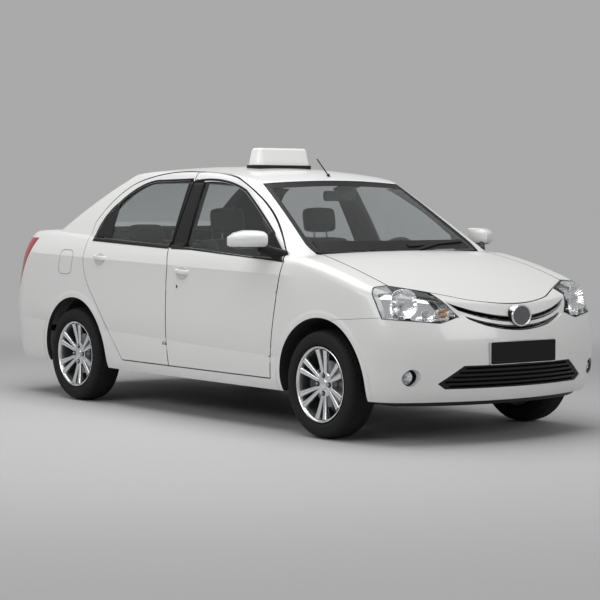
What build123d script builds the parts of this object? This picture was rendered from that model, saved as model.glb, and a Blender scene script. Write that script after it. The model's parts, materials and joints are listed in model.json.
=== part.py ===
from build123d import *
from collections import namedtuple
from math import atan2, cos, degrees, radians, sin
import os

# A four-door saloon taxi: stacked plan outlines are shelled, split into panels and fitted out

# Driving dimensions, in millimetres: x forward, y to the car's left, z up, ground at z = 0
WHEELBASE = 2550
FRONT_OVERHANG = 757
REAR_OVERHANG = 958

NOSE_X = (FRONT_OVERHANG + WHEELBASE + REAR_OVERHANG) / 2
TAIL_X = -NOSE_X
FRONT_AXLE_X = NOSE_X - FRONT_OVERHANG
REAR_AXLE_X = TAIL_X + REAR_OVERHANG


def from_front(dx, height):
    """A side-view point at a distance ahead of the front axle."""
    return (FRONT_AXLE_X + dx, height)


def from_rear(dx, height):
    """A side-view point at a distance ahead of the rear axle."""
    return (REAR_AXLE_X + dx, height)


# Plan outlines of the body, from the sill upward; set-backs are from the nose and from the tail
Outline = namedtuple("Outline", "z half_width nose_set tail_set nose_bow tail_bow side_bow "
                                "nose_corner tail_corner")
LOWER_OUTLINES = [
    Outline(235, 800, 52, 38, 230, 110, 22, 250, 230),
    Outline(330, 828, 12, 16, 236, 110, 24, 255, 240),
    Outline(470, 843, 0, 4, 240, 110, 26, 260, 250),
    Outline(640, 847, 28, 0, 240, 112, 28, 260, 250),
    Outline(770, 844, 82, 14, 236, 116, 32, 255, 245),
    Outline(905, 835, 148, 34, 230, 120, 38, 250, 240),
    Outline(1030, 790, 216, 56, 222, 125, 44, 240, 230),
    Outline(1130, 744, 280, 76, 214, 130, 48, 230, 220),
]
UPPER_OUTLINES = [
    Outline(930, 802, 866, 152, 84, 96, 40, 120, 200),
    Outline(1072, 752, 1088, 392, 86, 92, 38, 120, 190),
    Outline(1250, 670, 1356, 688, 90, 82, 36, 115, 175),
    Outline(1420, 585, 1625, 1030, 94, 66, 34, 110, 160),
    Outline(1545, 512, 1825, 1330, 96, 56, 32, 105, 150),
]

# Crowns: depth of the cross-section's centre below the ground for the bonnet and deck, and for the roof
DECK_CROWN_DEPTH = 11000
ROOF_CROWN_DEPTH = 3000
SHOULDER_RADIUS = 70
ROOF_EDGE_RADIUS = 60


def stacked(outlines, inset=0.0):
    """A solid lofted upward through plan outlines, each taken in by inset all round."""
    with BuildPart() as body:
        for row in outlines:
            nose = NOSE_X - row.nose_set - inset
            tail = TAIL_X + row.tail_set + inset
            end_width = row.half_width - row.side_bow - inset
            nose_edge, tail_edge = nose - row.nose_bow, tail + row.tail_bow
            middle = (nose_edge + tail_edge) / 2
            flank = row.half_width - inset
            with BuildSketch(Plane.XY.offset(row.z)) as outline:
                with BuildLine():
                    ThreePointArc((nose_edge, -end_width), (nose, 0), (nose_edge, end_width))
                    ThreePointArc((nose_edge, end_width), (middle, flank), (tail_edge, end_width))
                    ThreePointArc((tail_edge, end_width), (tail, 0), (tail_edge, -end_width))
                    ThreePointArc((tail_edge, -end_width), (middle, -flank), (nose_edge, -end_width))
                make_face()
                fillet(outline.vertices().group_by(Axis.X)[-1], row.nose_corner - inset)
                fillet(outline.vertices().group_by(Axis.X)[0], row.tail_corner - inset)
        loft()
    return body.part


def crown_plane(depth, half_angle):
    """A side-view plane tilted to the left about an axis along x, at a depth below the ground."""
    tilt = radians(half_angle)
    return Plane(origin=(0, 0, -depth), x_dir=(1, 0, 0), z_dir=(0, -cos(tilt), sin(tilt)))


def under_deck(drop=0.0):
    """The space under the bonnet, waist and boot deck, crowned across the car."""
    top = DECK_CROWN_DEPTH - drop
    with BuildPart() as space:
        with BuildSketch(crown_plane(DECK_CROWN_DEPTH, 7)):
            with BuildLine():
                bonnet = ThreePointArc((NOSE_X - 80, top + 753), (NOSE_X - 532, top + 917),
                                       (NOSE_X - 982, top + 1017))
                waist = Line(bonnet @ 1, (TAIL_X + 533, top + 1112))
                deck = ThreePointArc(waist @ 1, (TAIL_X + 283, top + 1103), (TAIL_X + 63, top + 1076))
                Polyline(deck @ 1, (TAIL_X - 100, top + 1055), (TAIL_X - 100, top + 100),
                         (NOSE_X + 100, top + 100), (NOSE_X + 100, top + 680), bonnet @ 0)
            make_face()
        revolve(axis=Axis((0, 0, -DECK_CROWN_DEPTH), (1, 0, 0)), revolution_arc=14)
    return space.part


def under_roof(drop=0.0):
    """The space under the roof, crowned across the car and along it."""
    top = ROOF_CROWN_DEPTH - drop
    with BuildPart() as space:
        with BuildSketch(crown_plane(ROOF_CROWN_DEPTH, 16)):
            with BuildLine():
                crest = ThreePointArc((FRONT_AXLE_X - 1175, top + 1485), (FRONT_AXLE_X - 1775, top + 1513),
                                      (REAR_AXLE_X + 425, top + 1504))
                brow = TangentArc(crest @ 0, (FRONT_AXLE_X - 675, top + 1352), tangent=-(crest % 0))
                tail = TangentArc(crest @ 1, (REAR_AXLE_X - 325, top + 1310), tangent=crest % 1)
                Polyline(tail @ 1, (TAIL_X, top + 1000), (TAIL_X, top + 600), (NOSE_X, top + 600),
                         (NOSE_X, top + 950), brow @ 1)
            make_face()
        revolve(axis=Axis((0, 0, -ROOF_CROWN_DEPTH), (1, 0, 0)), revolution_arc=32)
    return space.part

# Walls, gaps and glass
PANEL_WALL = 30
DOOR_WALL = 60
DOOR_FRAME_WALL = 42
DOOR_FLANGE = 14
DOOR_STEP = 16
BODY_WALL = 105
PILLAR_WALL = 80
SHUT_GAP = 7
POCKET_GAP = 12
SEAL_LAP = 30
GLASS_SET = 5
GLASS_WALL = 5
GRILLE_SET = 8

# Wheels and arches
TRACK = 1480
WHEEL_Z = 300
TYRE_RADIUS = 300
TYRE_WIDTH = 185
RIM_RADIUS = 207
ARCH_RADIUS = 368
WHEEL_HOUSE_WALL = 5
FRONT_HOUSE_Y = 440
REAR_HOUSE_Y = 560
SIDE_REACH = 1100
DOOR_HEAD_Y = 527


def skin(lower_wall, upper_wall, rounded=False):
    """The body's outer form, taken in by one wall below the waist and another above it."""
    with BuildPart() as lower:
        add(stacked(LOWER_OUTLINES, lower_wall))
        add(under_deck(min(lower_wall, PANEL_WALL)), mode=Mode.INTERSECT)
        if rounded:
            shoulders = lower.edges().filter_by(
                lambda edge: abs(edge.center().Y) > 500 and edge.center().Z > 800 and edge.length > 60)
            fillet(shoulders, SHOULDER_RADIUS)
    with BuildPart() as upper:
        add(stacked(UPPER_OUTLINES, upper_wall))
        add(under_roof(upper_wall), mode=Mode.INTERSECT)
        if rounded:
            crown = upper.faces().filter_by(GeomType.BSPLINE, reverse=True).sort_by(Axis.Z)[1:]
            walls = upper.faces().filter_by(GeomType.BSPLINE).edges()
            fillet(ShapeList([edge for edge in crown.edges() if edge in walls]), ROOF_EDGE_RADIUS)
    with BuildPart() as whole:
        add(lower.part)
        add(upper.part)
    return whole.part


def prism(path, plane, length, grow=0.0):
    """A closed outline, grown by a margin and extruded from its plane."""
    with BuildPart() as solid:
        with BuildSketch(plane):
            make_face(path.edges())
            if grow:
                offset(amount=grow, kind=Kind.INTERSECTION)
        extrude(amount=length)
    return solid.part


def side_prism(path, grow=0.0, near=300):
    """An outline in side view carried out through the car's right side."""
    return prism(path, Plane.XZ.offset(near), SIDE_REACH - near, grow)


def cross_prism(path, grow=0.0):
    """An outline in side view carried across the whole car."""
    return prism(path, Plane.XZ.offset(-SIDE_REACH), 2 * SIDE_REACH, grow)


def right_half(part):
    """The right half of a solid that crosses the car's middle."""
    with BuildPart() as half:
        add(part)
        split(bisect_by=Plane.XZ, keep=Keep.TOP)
    return half.part


# Side-view outlines: doors and their windows
DOOR_FOOT_Z = 303
DOOR_SPLIT = -1468
FRONT_EDGE_FOOT = from_front(-460, DOOR_FOOT_Z)
FRONT_EDGE_HEAD = from_front(-357, 962)

with BuildLine() as front_door_path:
    edge = Line(FRONT_EDGE_FOOT, FRONT_EDGE_HEAD)
    pillar = Line(edge @ 1, from_front(-475, 1072))
    head = ThreePointArc(pillar @ 1, from_front(-830, 1312), from_front(-1135, 1435))
    rail = ThreePointArc(head @ 1, from_front(-1330, 1463), from_front(DOOR_SPLIT - 72, 1470))
    Polyline(rail @ 1, from_front(DOOR_SPLIT - 37, 1020), from_front(DOOR_SPLIT, 900),
             from_front(DOOR_SPLIT, DOOR_FOOT_Z), edge @ 0)

with BuildLine() as rear_door_path:
    seam = DOOR_SPLIT - SHUT_GAP
    edge = Polyline(from_front(seam, DOOR_FOOT_Z), from_front(seam, 900), from_front(seam - 37, 1020),
                    from_front(seam - 72, 1470))
    rail = ThreePointArc(edge @ 1, from_rear(660, 1460), from_rear(415, 1418))
    head = ThreePointArc(rail @ 1, from_rear(200, 1312), from_rear(65, 1150))
    shoulder = Line(head @ 1, from_rear(92, 1000))
    flank = ThreePointArc(shoulder @ 1, from_rear(140, 820), from_rear(240, 690))
    arch = ThreePointArc(flank @ 1, from_rear(385, 528), from_rear(560, DOOR_FOOT_Z))
    Line(arch @ 1, edge @ 0)

with BuildLine() as front_window_path:
    sill = Line(from_front(-1360, 1022), from_front(-478, 973))
    pillar = Line(sill @ 1, from_front(-580, 1111))
    head = ThreePointArc(pillar @ 1, from_front(-775, 1229), from_front(-1000, 1353))
    rail = ThreePointArc(head @ 1, from_front(-1200, 1404), from_front(-1430, 1412))
    Line(rail @ 1, sill @ 0)

with BuildLine() as rear_window_path:
    sill = Line(from_front(-1530, 1028), from_rear(139, 1056))
    rear = ThreePointArc(sill @ 1, from_rear(165, 1170), from_rear(260, 1270))
    head = ThreePointArc(rear @ 1, from_rear(440, 1376), from_rear(660, 1412))
    rail = Line(head @ 1, from_front(-1590, 1420))
    Line(rail @ 1, sill @ 0)

# Side-view outlines: the front end, bumpers and lamps
BUMPER_TOP_Z = 690
LAMP_FOOT = 464
with BuildLine() as front_end_path:
    Polyline((FRONT_EDGE_FOOT[0] + SHUT_GAP - 10, 200), (FRONT_EDGE_HEAD[0] + SHUT_GAP, FRONT_EDGE_HEAD[1]),
             from_front(-275, 1006), from_front(900, 1006), from_front(900, 200), close=True)
with BuildLine() as front_bay_path:
    Polyline(from_front(-376, 200), from_front(-376, 900), from_front(-250, 1006), from_front(900, 1006),
             from_front(900, 200), close=True)
with BuildLine() as wing_path:
    Polyline((FRONT_EDGE_FOOT[0] + SHUT_GAP - 10, 200), (FRONT_EDGE_HEAD[0] + SHUT_GAP, FRONT_EDGE_HEAD[1]),
             from_front(-275, 1006), from_front(-270, 1100), from_front(620, 1100),
             from_front(620, BUMPER_TOP_Z), from_front(LAMP_FOOT, BUMPER_TOP_Z), from_front(100, 662),
             from_front(100, 200), close=True)
with BuildLine() as front_bumper_path:
    Polyline(from_front(100, 200), from_front(100, 660), from_front(LAMP_FOOT, BUMPER_TOP_Z - 2),
             from_front(900, BUMPER_TOP_Z - 2), from_front(900, 200), close=True)
with BuildLine() as headlamp_side_path:
    Polyline(from_front(350, 905), from_front(362, 857), from_front(378, 834), from_front(425, 757),
             from_front(LAMP_FOOT, 688), from_front(490, 640), from_front(900, 640), from_front(900, 905),
             close=True)
with BuildLine() as rear_bumper_path:
    Polyline(from_rear(-60, 200), from_rear(-60, 648), from_rear(-175, 652), from_rear(-720, 714),
             from_rear(-860, 772), from_rear(-1100, 772), from_rear(-1100, 200), close=True)
with BuildLine() as tail_lamp_side_path:
    Polyline(from_rear(-570, 1040), from_rear(-724, 716), from_rear(-1100, 716), from_rear(-1100, 1040),
             close=True)

# Front-view outlines, with y to the left as the first coordinate
FRONT_VIEW = Plane(origin=(0, 0, 0), x_dir=(0, 1, 0), z_dir=(1, 0, 0))
with BuildLine() as headlamp_front_path:
    Polyline((-900, 684), (-800, 684), (-612, 668), (-509, 658), (-450, 674), (-397, 692), (-427, 728),
             (-467, 785), (-469, 900), (-900, 900), close=True)
with BuildLine() as tail_lamp_rear_path:
    Polyline((-512, 790), (-535, 1000), (-640, 1046), (-900, 1046), (-900, 690), (-580, 690), close=True)
with BuildLine() as windscreen_path:
    foot = Line((-596, 968), (596, 968))
    corner = ThreePointArc(foot @ 1, (624, 1012), (630, 1060))
    edge = Line(corner @ 1, (522, 1404))
    head = ThreePointArc(edge @ 1, (0, 1424), (-522, 1404))
    far_edge = Line(head @ 1, (-630, 1060))
    ThreePointArc(far_edge @ 1, (-624, 1012), foot @ 0)
with BuildLine() as rear_window_glass_path:
    foot = Line((-560, 1112), (560, 1112))
    edge = Line(foot @ 1, (470, 1396))
    head = ThreePointArc(edge @ 1, (0, 1424), (-470, 1396))
    Line(head @ 1, foot @ 0)
with BuildLine() as upper_grille_path:
    foot = ThreePointArc((-394, 692), (0, 611), (394, 692))
    side = Polyline(foot @ 1, (424, 728), (464, 785), (466, 900))
    head = Line(side @ 1, (-466, 900))
    Polyline(head @ 1, (-464, 785), (-424, 728), foot @ 0)
with BuildLine() as lower_grille_path:
    Polyline((-395, 432), (395, 432), (534, 338), (490, 307), (-490, 307), (-534, 338), close=True)
with BuildLine() as boot_lid_path:
    Polyline((-608, 1200), (-608, 1052), (-522, 1000), (-500, 782), (500, 782), (522, 1000), (608, 1052),
             (608, 1200), close=True)

# Plan outlines
BONNET_HINGE_X = FRONT_AXLE_X - 263
with BuildLine() as bonnet_path:
    tail = ThreePointArc((BONNET_HINGE_X - 7, -605), (BONNET_HINGE_X + 38, 0), (BONNET_HINGE_X - 7, 605))
    side = ThreePointArc(tail @ 1, from_front(25, 643), from_front(370, 648))
    brow = Line(side @ 1, from_front(597, 310))
    nose = ThreePointArc(brow @ 1, from_front(669, 0), from_front(597, -310))
    far_brow = Line(nose @ 1, from_front(370, -648))
    ThreePointArc(far_brow @ 1, from_front(25, -643), tail @ 0)
ROOF_HALF_WIDTH = 485
with BuildLine() as roof_path:
    front = ThreePointArc(from_front(-950, -ROOF_HALF_WIDTH), from_front(-840, 0),
                          from_front(-950, ROOF_HALF_WIDTH))
    side = Line(front @ 1, from_rear(130, ROOF_HALF_WIDTH))
    rear = ThreePointArc(side @ 1, from_rear(60, 0), from_rear(130, -ROOF_HALF_WIDTH))
    Line(rear @ 1, front @ 0)

# Hinges: pins, the notches that their arms reach into, and how far they sit from the panel's edge and skin
PIN_RADIUS = 4
PIN_HALF_LENGTH = 40
PIN_CLEARANCE = 0.15
NOTCH_HALF_HEIGHT = 24
ARM_HALF_HEIGHT = 18
ARM_HALF_WIDTH = 8
NOTCH_ROOM = 3
HINGE_SET = 26


def hinge_notch(plane, edge_reach, depth):
    """Room in a panel for a hinge arm to swing, with the pin's bore through the panel above and below it."""
    with BuildPart(plane) as notch:
        back = ARM_HALF_WIDTH + 2 * NOTCH_ROOM
        front = PIN_RADIUS + NOTCH_ROOM
        with Locations(((edge_reach - back) / 2, (depth - front) / 2, 0)):
            Box(edge_reach + back, depth + front, 2 * NOTCH_HALF_HEIGHT)
        Cylinder(PIN_RADIUS + PIN_CLEARANCE, 2 * PIN_HALF_LENGTH + 1)
    return notch.part


def hinge_arm(plane, reach):
    """A hinge pin carried on an arm that reaches inward from it."""
    with BuildPart(plane) as arm:
        Cylinder(PIN_RADIUS, 2 * PIN_HALF_LENGTH)
        with Locations((0, reach / 2, 0)):
            Box(2 * ARM_HALF_WIDTH, reach, 2 * ARM_HALF_HEIGHT)
    return arm.part


def outside(tool, core):
    """The part of a cutting solid that lies outside a core."""
    with BuildPart() as ring:
        add(tool)
        add(core, mode=Mode.SUBTRACT)
    return ring.part


def wheel_arch(axle_x, radius, near, far=SIDE_REACH):
    """A cylinder across the right side, about an axle."""
    with BuildPart() as bore:
        with BuildSketch(Plane.XZ.offset(near)):
            with Locations((axle_x, WHEEL_Z)):
                Circle(radius)
        extrude(amount=far - near)
    return bore.part


# The nested forms that every wall lies between
outer = skin(0, 0, rounded=True)
flange_core = skin(DOOR_FLANGE, DOOR_FLANGE)
panel_core = skin(PANEL_WALL, DOOR_FRAME_WALL)
door_core = skin(DOOR_WALL, DOOR_FRAME_WALL)
pocket_core = skin(DOOR_WALL + POCKET_GAP, DOOR_FRAME_WALL + POCKET_GAP)
body_core = skin(BODY_WALL, PILLAR_WALL)
glass_outer = stacked(UPPER_OUTLINES, GLASS_SET)
glass_inner = stacked(UPPER_OUTLINES, GLASS_SET + GLASS_WALL)
outer_right = right_half(outer)

front_arch = wheel_arch(FRONT_AXLE_X, ARCH_RADIUS, 300)
rear_arch = wheel_arch(REAR_AXLE_X, ARCH_RADIUS, 300)
windscreen_space = prism(windscreen_path, FRONT_VIEW.offset(FRONT_AXLE_X - 1100), 1300)
rear_glass_space = prism(rear_window_glass_path, FRONT_VIEW.offset(TAIL_X + 250), 900)
roof_space = prism(roof_path, Plane.XY.offset(1300), 400)
BOOT_EDGE_X = TAIL_X + 432
BOOT_REACH = BOOT_EDGE_X - TAIL_X + 100
boot_lid_space = prism(boot_lid_path, FRONT_VIEW.offset(TAIL_X - 100), BOOT_REACH)
boot_gap_space = prism(boot_lid_path, FRONT_VIEW.offset(TAIL_X - 100), BOOT_REACH + SHUT_GAP, SHUT_GAP)
bonnet_space = prism(bonnet_path, Plane.XY.offset(600), 600)
bonnet_gap_space = outside(prism(bonnet_path, Plane.XY.offset(600), 600, SHUT_GAP),
                           under_deck(PANEL_WALL + SHUT_GAP))

with BuildPart() as headlamp_space:
    add(side_prism(headlamp_side_path))
    add(prism(headlamp_front_path, FRONT_VIEW.offset(FRONT_AXLE_X), 900), mode=Mode.INTERSECT)
with BuildPart() as tail_lamp_space:
    add(side_prism(tail_lamp_side_path))
    add(prism(tail_lamp_rear_path, FRONT_VIEW.offset(TAIL_X - 100), 700), mode=Mode.INTERSECT)

# Door hinges, two to a door, on an axis along each door's front edge
EDGE_LEAN = degrees(atan2(FRONT_EDGE_HEAD[0] - FRONT_EDGE_FOOT[0], FRONT_EDGE_HEAD[1] - FRONT_EDGE_FOOT[1]))
FRONT_HINGE_Y = 826
REAR_HINGE_Y = 834
HINGE_HEIGHTS = (450, 770)
ARM_REACH = 85


def door_hinge_planes(foot, lean, hinge_y):
    """Planes on a right door's hinges: along the pin, with forward and inward as their axes."""
    axis = (sin(radians(lean)), 0, cos(radians(lean)))
    ahead = (cos(radians(lean)), 0, -sin(radians(lean)))
    slope = axis[0] / axis[2]
    return [Plane(origin=(foot[0] - HINGE_SET + slope * (height - foot[1]), -hinge_y, height),
                  x_dir=ahead, z_dir=axis) for height in HINGE_HEIGHTS]


front_hinges = door_hinge_planes(FRONT_EDGE_FOOT, EDGE_LEAN, FRONT_HINGE_Y)
rear_hinges = door_hinge_planes(from_front(DOOR_SPLIT - SHUT_GAP, DOOR_FOOT_Z), 0, REAR_HINGE_Y)


def door(path, window, hinges):
    """A right door: a wide outer flange on a narrower inner wall, with window and hinge notches cut."""
    with BuildPart() as flange:
        add(side_prism(path, near=DOOR_HEAD_Y))
        add(outer_right, mode=Mode.INTERSECT)
        add(flange_core, mode=Mode.SUBTRACT)
    with BuildPart() as inner_wall:
        add(side_prism(path, -DOOR_STEP, DOOR_HEAD_Y))
        add(flange_core, mode=Mode.INTERSECT)
        add(door_core, mode=Mode.SUBTRACT)
    with BuildPart() as leaf:
        add(inner_wall.part)
        add(flange.part)
        add(side_prism(window), mode=Mode.SUBTRACT)
        for plane in hinges:
            add(hinge_notch(plane, HINGE_SET + 10, ARM_REACH), mode=Mode.SUBTRACT)
    return leaf.part


def door_pocket(path):
    """What a right door's opening takes out of the body: the door's recess and the way through it."""
    with BuildPart() as pocket:
        add(side_prism(path, SHUT_GAP, DOOR_HEAD_Y - SHUT_GAP))
        add(pocket_core, mode=Mode.SUBTRACT)
        add(side_prism(path, -SEAL_LAP))
    return pocket.part


def finish(builder, name, parts):
    """Keep a finished piece under its node's name."""
    builder.part.label = name
    parts[name] = builder.part


def both_sides(part):
    """A right-hand piece together with its mirror image."""
    with BuildPart() as pair:
        add(part)
        mirror(part, about=Plane.XZ)
    return pair


nodes = {}

# Doors, each with its glass
for row, path, window, hinges in (("front", front_door_path, front_window_path, front_hinges),
                                  ("rear", rear_door_path, rear_window_path, rear_hinges)):
    leaf = door(path, window, hinges)
    with BuildPart() as glass:
        add(side_prism(window))
        add(glass_outer, mode=Mode.INTERSECT)
        add(glass_inner, mode=Mode.SUBTRACT)
    for piece, solid in (("door", leaf), ("glass", glass.part)):
        with BuildPart() as right:
            add(solid)
        finish(right, f"{row}_{piece}_right", nodes)
        with BuildPart() as left:
            mirror(solid, about=Plane.XZ)
        finish(left, f"{row}_{piece}_left", nodes)

# Side frames: sills, pillars, roof rails and rear quarters, one each side
DECK_HALF_WIDTH = 560
DECK_TOP_Z = 1112
LID_HINGE_Y = 330
LID_HINGE_SET = 30
LID_HINGE_Z = 1092
LID_ARM_DROP = 75
LID_ARM_REACH = 90
lid_hinges = [Plane(origin=(BOOT_EDGE_X - LID_HINGE_SET, side * LID_HINGE_Y, LID_HINGE_Z), x_dir=(1, 0, 0),
                    z_dir=(0, 1, 0)) for side in (-1, 1)]
with BuildPart() as side_frame:
    add(outer_right)
    add(body_core, mode=Mode.SUBTRACT)
    add(door_pocket(front_door_path), mode=Mode.SUBTRACT)
    add(door_pocket(rear_door_path), mode=Mode.SUBTRACT)
    add(outside(side_prism(front_end_path, near=0), panel_core), mode=Mode.SUBTRACT)
    add(side_prism(front_bay_path, near=0), mode=Mode.SUBTRACT)
    add(windscreen_space, mode=Mode.SUBTRACT)
    add(rear_glass_space, mode=Mode.SUBTRACT)
    add(roof_space, mode=Mode.SUBTRACT)
    add(boot_gap_space, mode=Mode.SUBTRACT)
    add(cross_prism(rear_bumper_path), mode=Mode.SUBTRACT)
    add(tail_lamp_space.part, mode=Mode.SUBTRACT)
    add(rear_arch, mode=Mode.SUBTRACT)
    with Locations((REAR_AXLE_X - 300, 0, DECK_TOP_Z)):
        Box(1200, 2 * DECK_HALF_WIDTH, 1000, align=(Align.MAX, Align.CENTER, Align.MAX), mode=Mode.SUBTRACT)
    for plane in front_hinges + rear_hinges:
        add(hinge_arm(plane, ARM_REACH))
finish(both_sides(side_frame.part), "side_frames", nodes)

# Roof, bonnet and boot lid
with BuildPart() as roof_panel:
    add(roof_space)
    add(outer, mode=Mode.INTERSECT)
    add(panel_core, mode=Mode.SUBTRACT)
    add(windscreen_space, mode=Mode.SUBTRACT)
    add(rear_glass_space, mode=Mode.SUBTRACT)
finish(roof_panel, "roof_panel", nodes)

BONNET_HINGE_Y = 540
BONNET_HINGE_Z = 991
bonnet_hinges = [Plane(origin=(BONNET_HINGE_X, side * BONNET_HINGE_Y, BONNET_HINGE_Z), x_dir=(-1, 0, 0),
                       z_dir=(0, -1, 0)) for side in (-1, 1)]
with BuildPart() as bonnet:
    add(bonnet_space)
    add(outer, mode=Mode.INTERSECT)
    add(under_deck(PANEL_WALL), mode=Mode.SUBTRACT)
    for plane in bonnet_hinges:
        add(hinge_notch(plane, 30, 40), mode=Mode.SUBTRACT)
finish(bonnet, "bonnet", nodes)

with BuildPart() as boot_lid:
    add(boot_lid_space)
    add(outer, mode=Mode.INTERSECT)
    add(panel_core, mode=Mode.SUBTRACT)
    for plane in lid_hinges:
        add(hinge_notch(plane, LID_HINGE_SET + 5, 45), mode=Mode.SUBTRACT)
finish(boot_lid, "boot_lid", nodes)

# Deck panel under the rear window, with the arms that carry the boot lid's pins
with BuildPart() as deck_panel:
    with Locations((BOOT_EDGE_X + SHUT_GAP, 0, DECK_TOP_Z)):
        Box(300, 2 * DECK_HALF_WIDTH, 250, align=(Align.MIN, Align.CENTER, Align.MAX))
    add(outer, mode=Mode.INTERSECT)
    add(panel_core, mode=Mode.SUBTRACT)
    add(rear_glass_space, mode=Mode.SUBTRACT)
    for plane in lid_hinges:
        add(hinge_arm(plane, LID_ARM_DROP))
        with BuildSketch(plane):
            with Locations((0, LID_ARM_DROP)):
                Rectangle(LID_ARM_REACH, 2 * ARM_HALF_WIDTH, align=(Align.MIN, Align.CENTER))
            with Locations((LID_ARM_REACH, LID_ARM_DROP + ARM_HALF_WIDTH)):
                Rectangle(2 * ARM_HALF_WIDTH, LID_ARM_DROP, align=(Align.MAX, Align.MAX))
        extrude(amount=ARM_HALF_HEIGHT, both=True)
finish(deck_panel, "deck_panel", nodes)

# Front wings, bumpers and what they hold
WING_NEAR = 560
with BuildPart() as wing:
    add(side_prism(wing_path, near=WING_NEAR))
    add(outer_right, mode=Mode.INTERSECT)
    add(panel_core, mode=Mode.SUBTRACT)
    add(bonnet_gap_space, mode=Mode.SUBTRACT)
    add(headlamp_space.part, mode=Mode.SUBTRACT)
    add(windscreen_space, mode=Mode.SUBTRACT)
    add(front_arch, mode=Mode.SUBTRACT)
finish(both_sides(wing.part), "front_wings", nodes)

with BuildPart() as headlamp:
    add(headlamp_space.part)
    add(outer_right, mode=Mode.INTERSECT)
    add(panel_core, mode=Mode.SUBTRACT)
    add(bonnet_gap_space, mode=Mode.SUBTRACT)
finish(both_sides(headlamp.part), "headlamps", nodes)

upper_grille_space = prism(upper_grille_path, FRONT_VIEW.offset(FRONT_AXLE_X), 900)
lower_grille_space = prism(lower_grille_path, FRONT_VIEW.offset(FRONT_AXLE_X), 900)
FOG_LAMP_X = NOSE_X - 206
FOG_LAMP_Y = 669
FOG_LAMP_Z = 372
FOG_LAMP_RADIUS = 46
PLATE_X = NOSE_X - 12
PLATE_Z = 494
PLATE_SIZE = (4, 483, 118)
PLATE_MARGIN = 6
with BuildPart() as front_bumper:
    add(cross_prism(front_bumper_path))
    add(outer, mode=Mode.INTERSECT)
    add(panel_core, mode=Mode.SUBTRACT)
    for part in (front_arch, headlamp_space.part):
        add(part, mode=Mode.SUBTRACT)
        mirror(part, about=Plane.XZ, mode=Mode.SUBTRACT)
    add(upper_grille_space, mode=Mode.SUBTRACT)
    add(lower_grille_space, mode=Mode.SUBTRACT)
    with BuildSketch(FRONT_VIEW.offset(FOG_LAMP_X)):
        with Locations((-FOG_LAMP_Y, FOG_LAMP_Z), (FOG_LAMP_Y, FOG_LAMP_Z)):
            Circle(FOG_LAMP_RADIUS)
    extrude(amount=150, both=True, mode=Mode.SUBTRACT)
    with Locations((PLATE_X, 0, PLATE_Z)):
        Box(60, PLATE_SIZE[1] + 2 * PLATE_MARGIN, PLATE_SIZE[2] + 2 * PLATE_MARGIN,
            align=(Align.MIN, Align.CENTER, Align.CENTER), mode=Mode.SUBTRACT)
finish(front_bumper, "front_bumper", nodes)

with BuildPart() as fog_lamps:
    with BuildSketch(FRONT_VIEW.offset(FOG_LAMP_X - 40)):
        with Locations((-FOG_LAMP_Y, FOG_LAMP_Z), (FOG_LAMP_Y, FOG_LAMP_Z)):
            Circle(FOG_LAMP_RADIUS)
    extrude(amount=44)
    chamfer(fog_lamps.faces().group_by(Axis.X)[-1].edges(), 8)
finish(fog_lamps, "fog_lamps", nodes)

with BuildPart() as front_plate:
    with Locations((PLATE_X, 0, PLATE_Z)):
        Box(*PLATE_SIZE, align=(Align.MIN, Align.CENTER, Align.CENTER))
    fillet(front_plate.edges().filter_by(Axis.X), 10)
finish(front_plate, "front_plate", nodes)

# Each slot of the upper grille: its upper corner and middle height, then its lower corner and middle height
GRILLE_SLOTS = [((436, 766), 682, (386, 725), 664), ((350, 688), 631, (340, 681), 617)]
BADGE_Z = 690
BADGE_BACK_X = NOSE_X - 64
BADGE_DEPTH = 34
grille_outer = stacked(LOWER_OUTLINES, GRILLE_SET)
with BuildPart() as upper_grille:
    add(upper_grille_space)
    add(grille_outer, mode=Mode.INTERSECT)
    add(outer, mode=Mode.INTERSECT)
    add(panel_core, mode=Mode.SUBTRACT)
    add(bonnet_gap_space, mode=Mode.SUBTRACT)
    with BuildSketch(FRONT_VIEW.offset(FRONT_AXLE_X)):
        for (high_y, high_z), high_middle, (low_y, low_z), low_middle in GRILLE_SLOTS:
            with BuildLine():
                low = ThreePointArc((-low_y, low_z), (0, low_middle), (low_y, low_z))
                high = ThreePointArc((high_y, high_z), (0, high_middle), (-high_y, high_z))
                Line(low @ 1, high @ 0)
                Line(high @ 1, low @ 0)
            make_face()
    extrude(amount=900, mode=Mode.SUBTRACT)
    with BuildSketch(FRONT_VIEW.offset(BADGE_BACK_X)):
        with Locations((0, BADGE_Z)):
            Ellipse(74, 60)
    extrude(amount=BADGE_DEPTH)
finish(upper_grille, "upper_grille", nodes)

LOWER_BARS = 5
with BuildPart() as lower_grille:
    add(lower_grille_space)
    add(grille_outer, mode=Mode.INTERSECT)
    add(panel_core, mode=Mode.SUBTRACT)
    with BuildSketch(FRONT_VIEW.offset(FRONT_AXLE_X)):
        for row in range(LOWER_BARS):
            with Locations((0, 321 + 24 * row)):
                SlotOverall((930, 980, 900, 830, 760)[row], 12)
    extrude(amount=900, mode=Mode.SUBTRACT)
finish(lower_grille, "lower_grille", nodes)

TAIL_PIPE_Y = -330
TAIL_PIPE_Z = 320
TAIL_PIPE_RADIUS = 22
PIPE_NOTCH_SIZE = (400, 120, 180)
with BuildPart() as rear_bumper:
    add(cross_prism(rear_bumper_path))
    add(outer, mode=Mode.INTERSECT)
    add(panel_core, mode=Mode.SUBTRACT)
    for part in (rear_arch, tail_lamp_space.part):
        add(part, mode=Mode.SUBTRACT)
        mirror(part, about=Plane.XZ, mode=Mode.SUBTRACT)
    with Locations((TAIL_X, TAIL_PIPE_Y, TAIL_PIPE_Z + 60)):
        Box(*PIPE_NOTCH_SIZE, align=(Align.CENTER, Align.CENTER, Align.MAX), mode=Mode.SUBTRACT)
finish(rear_bumper, "rear_bumper", nodes)

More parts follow.
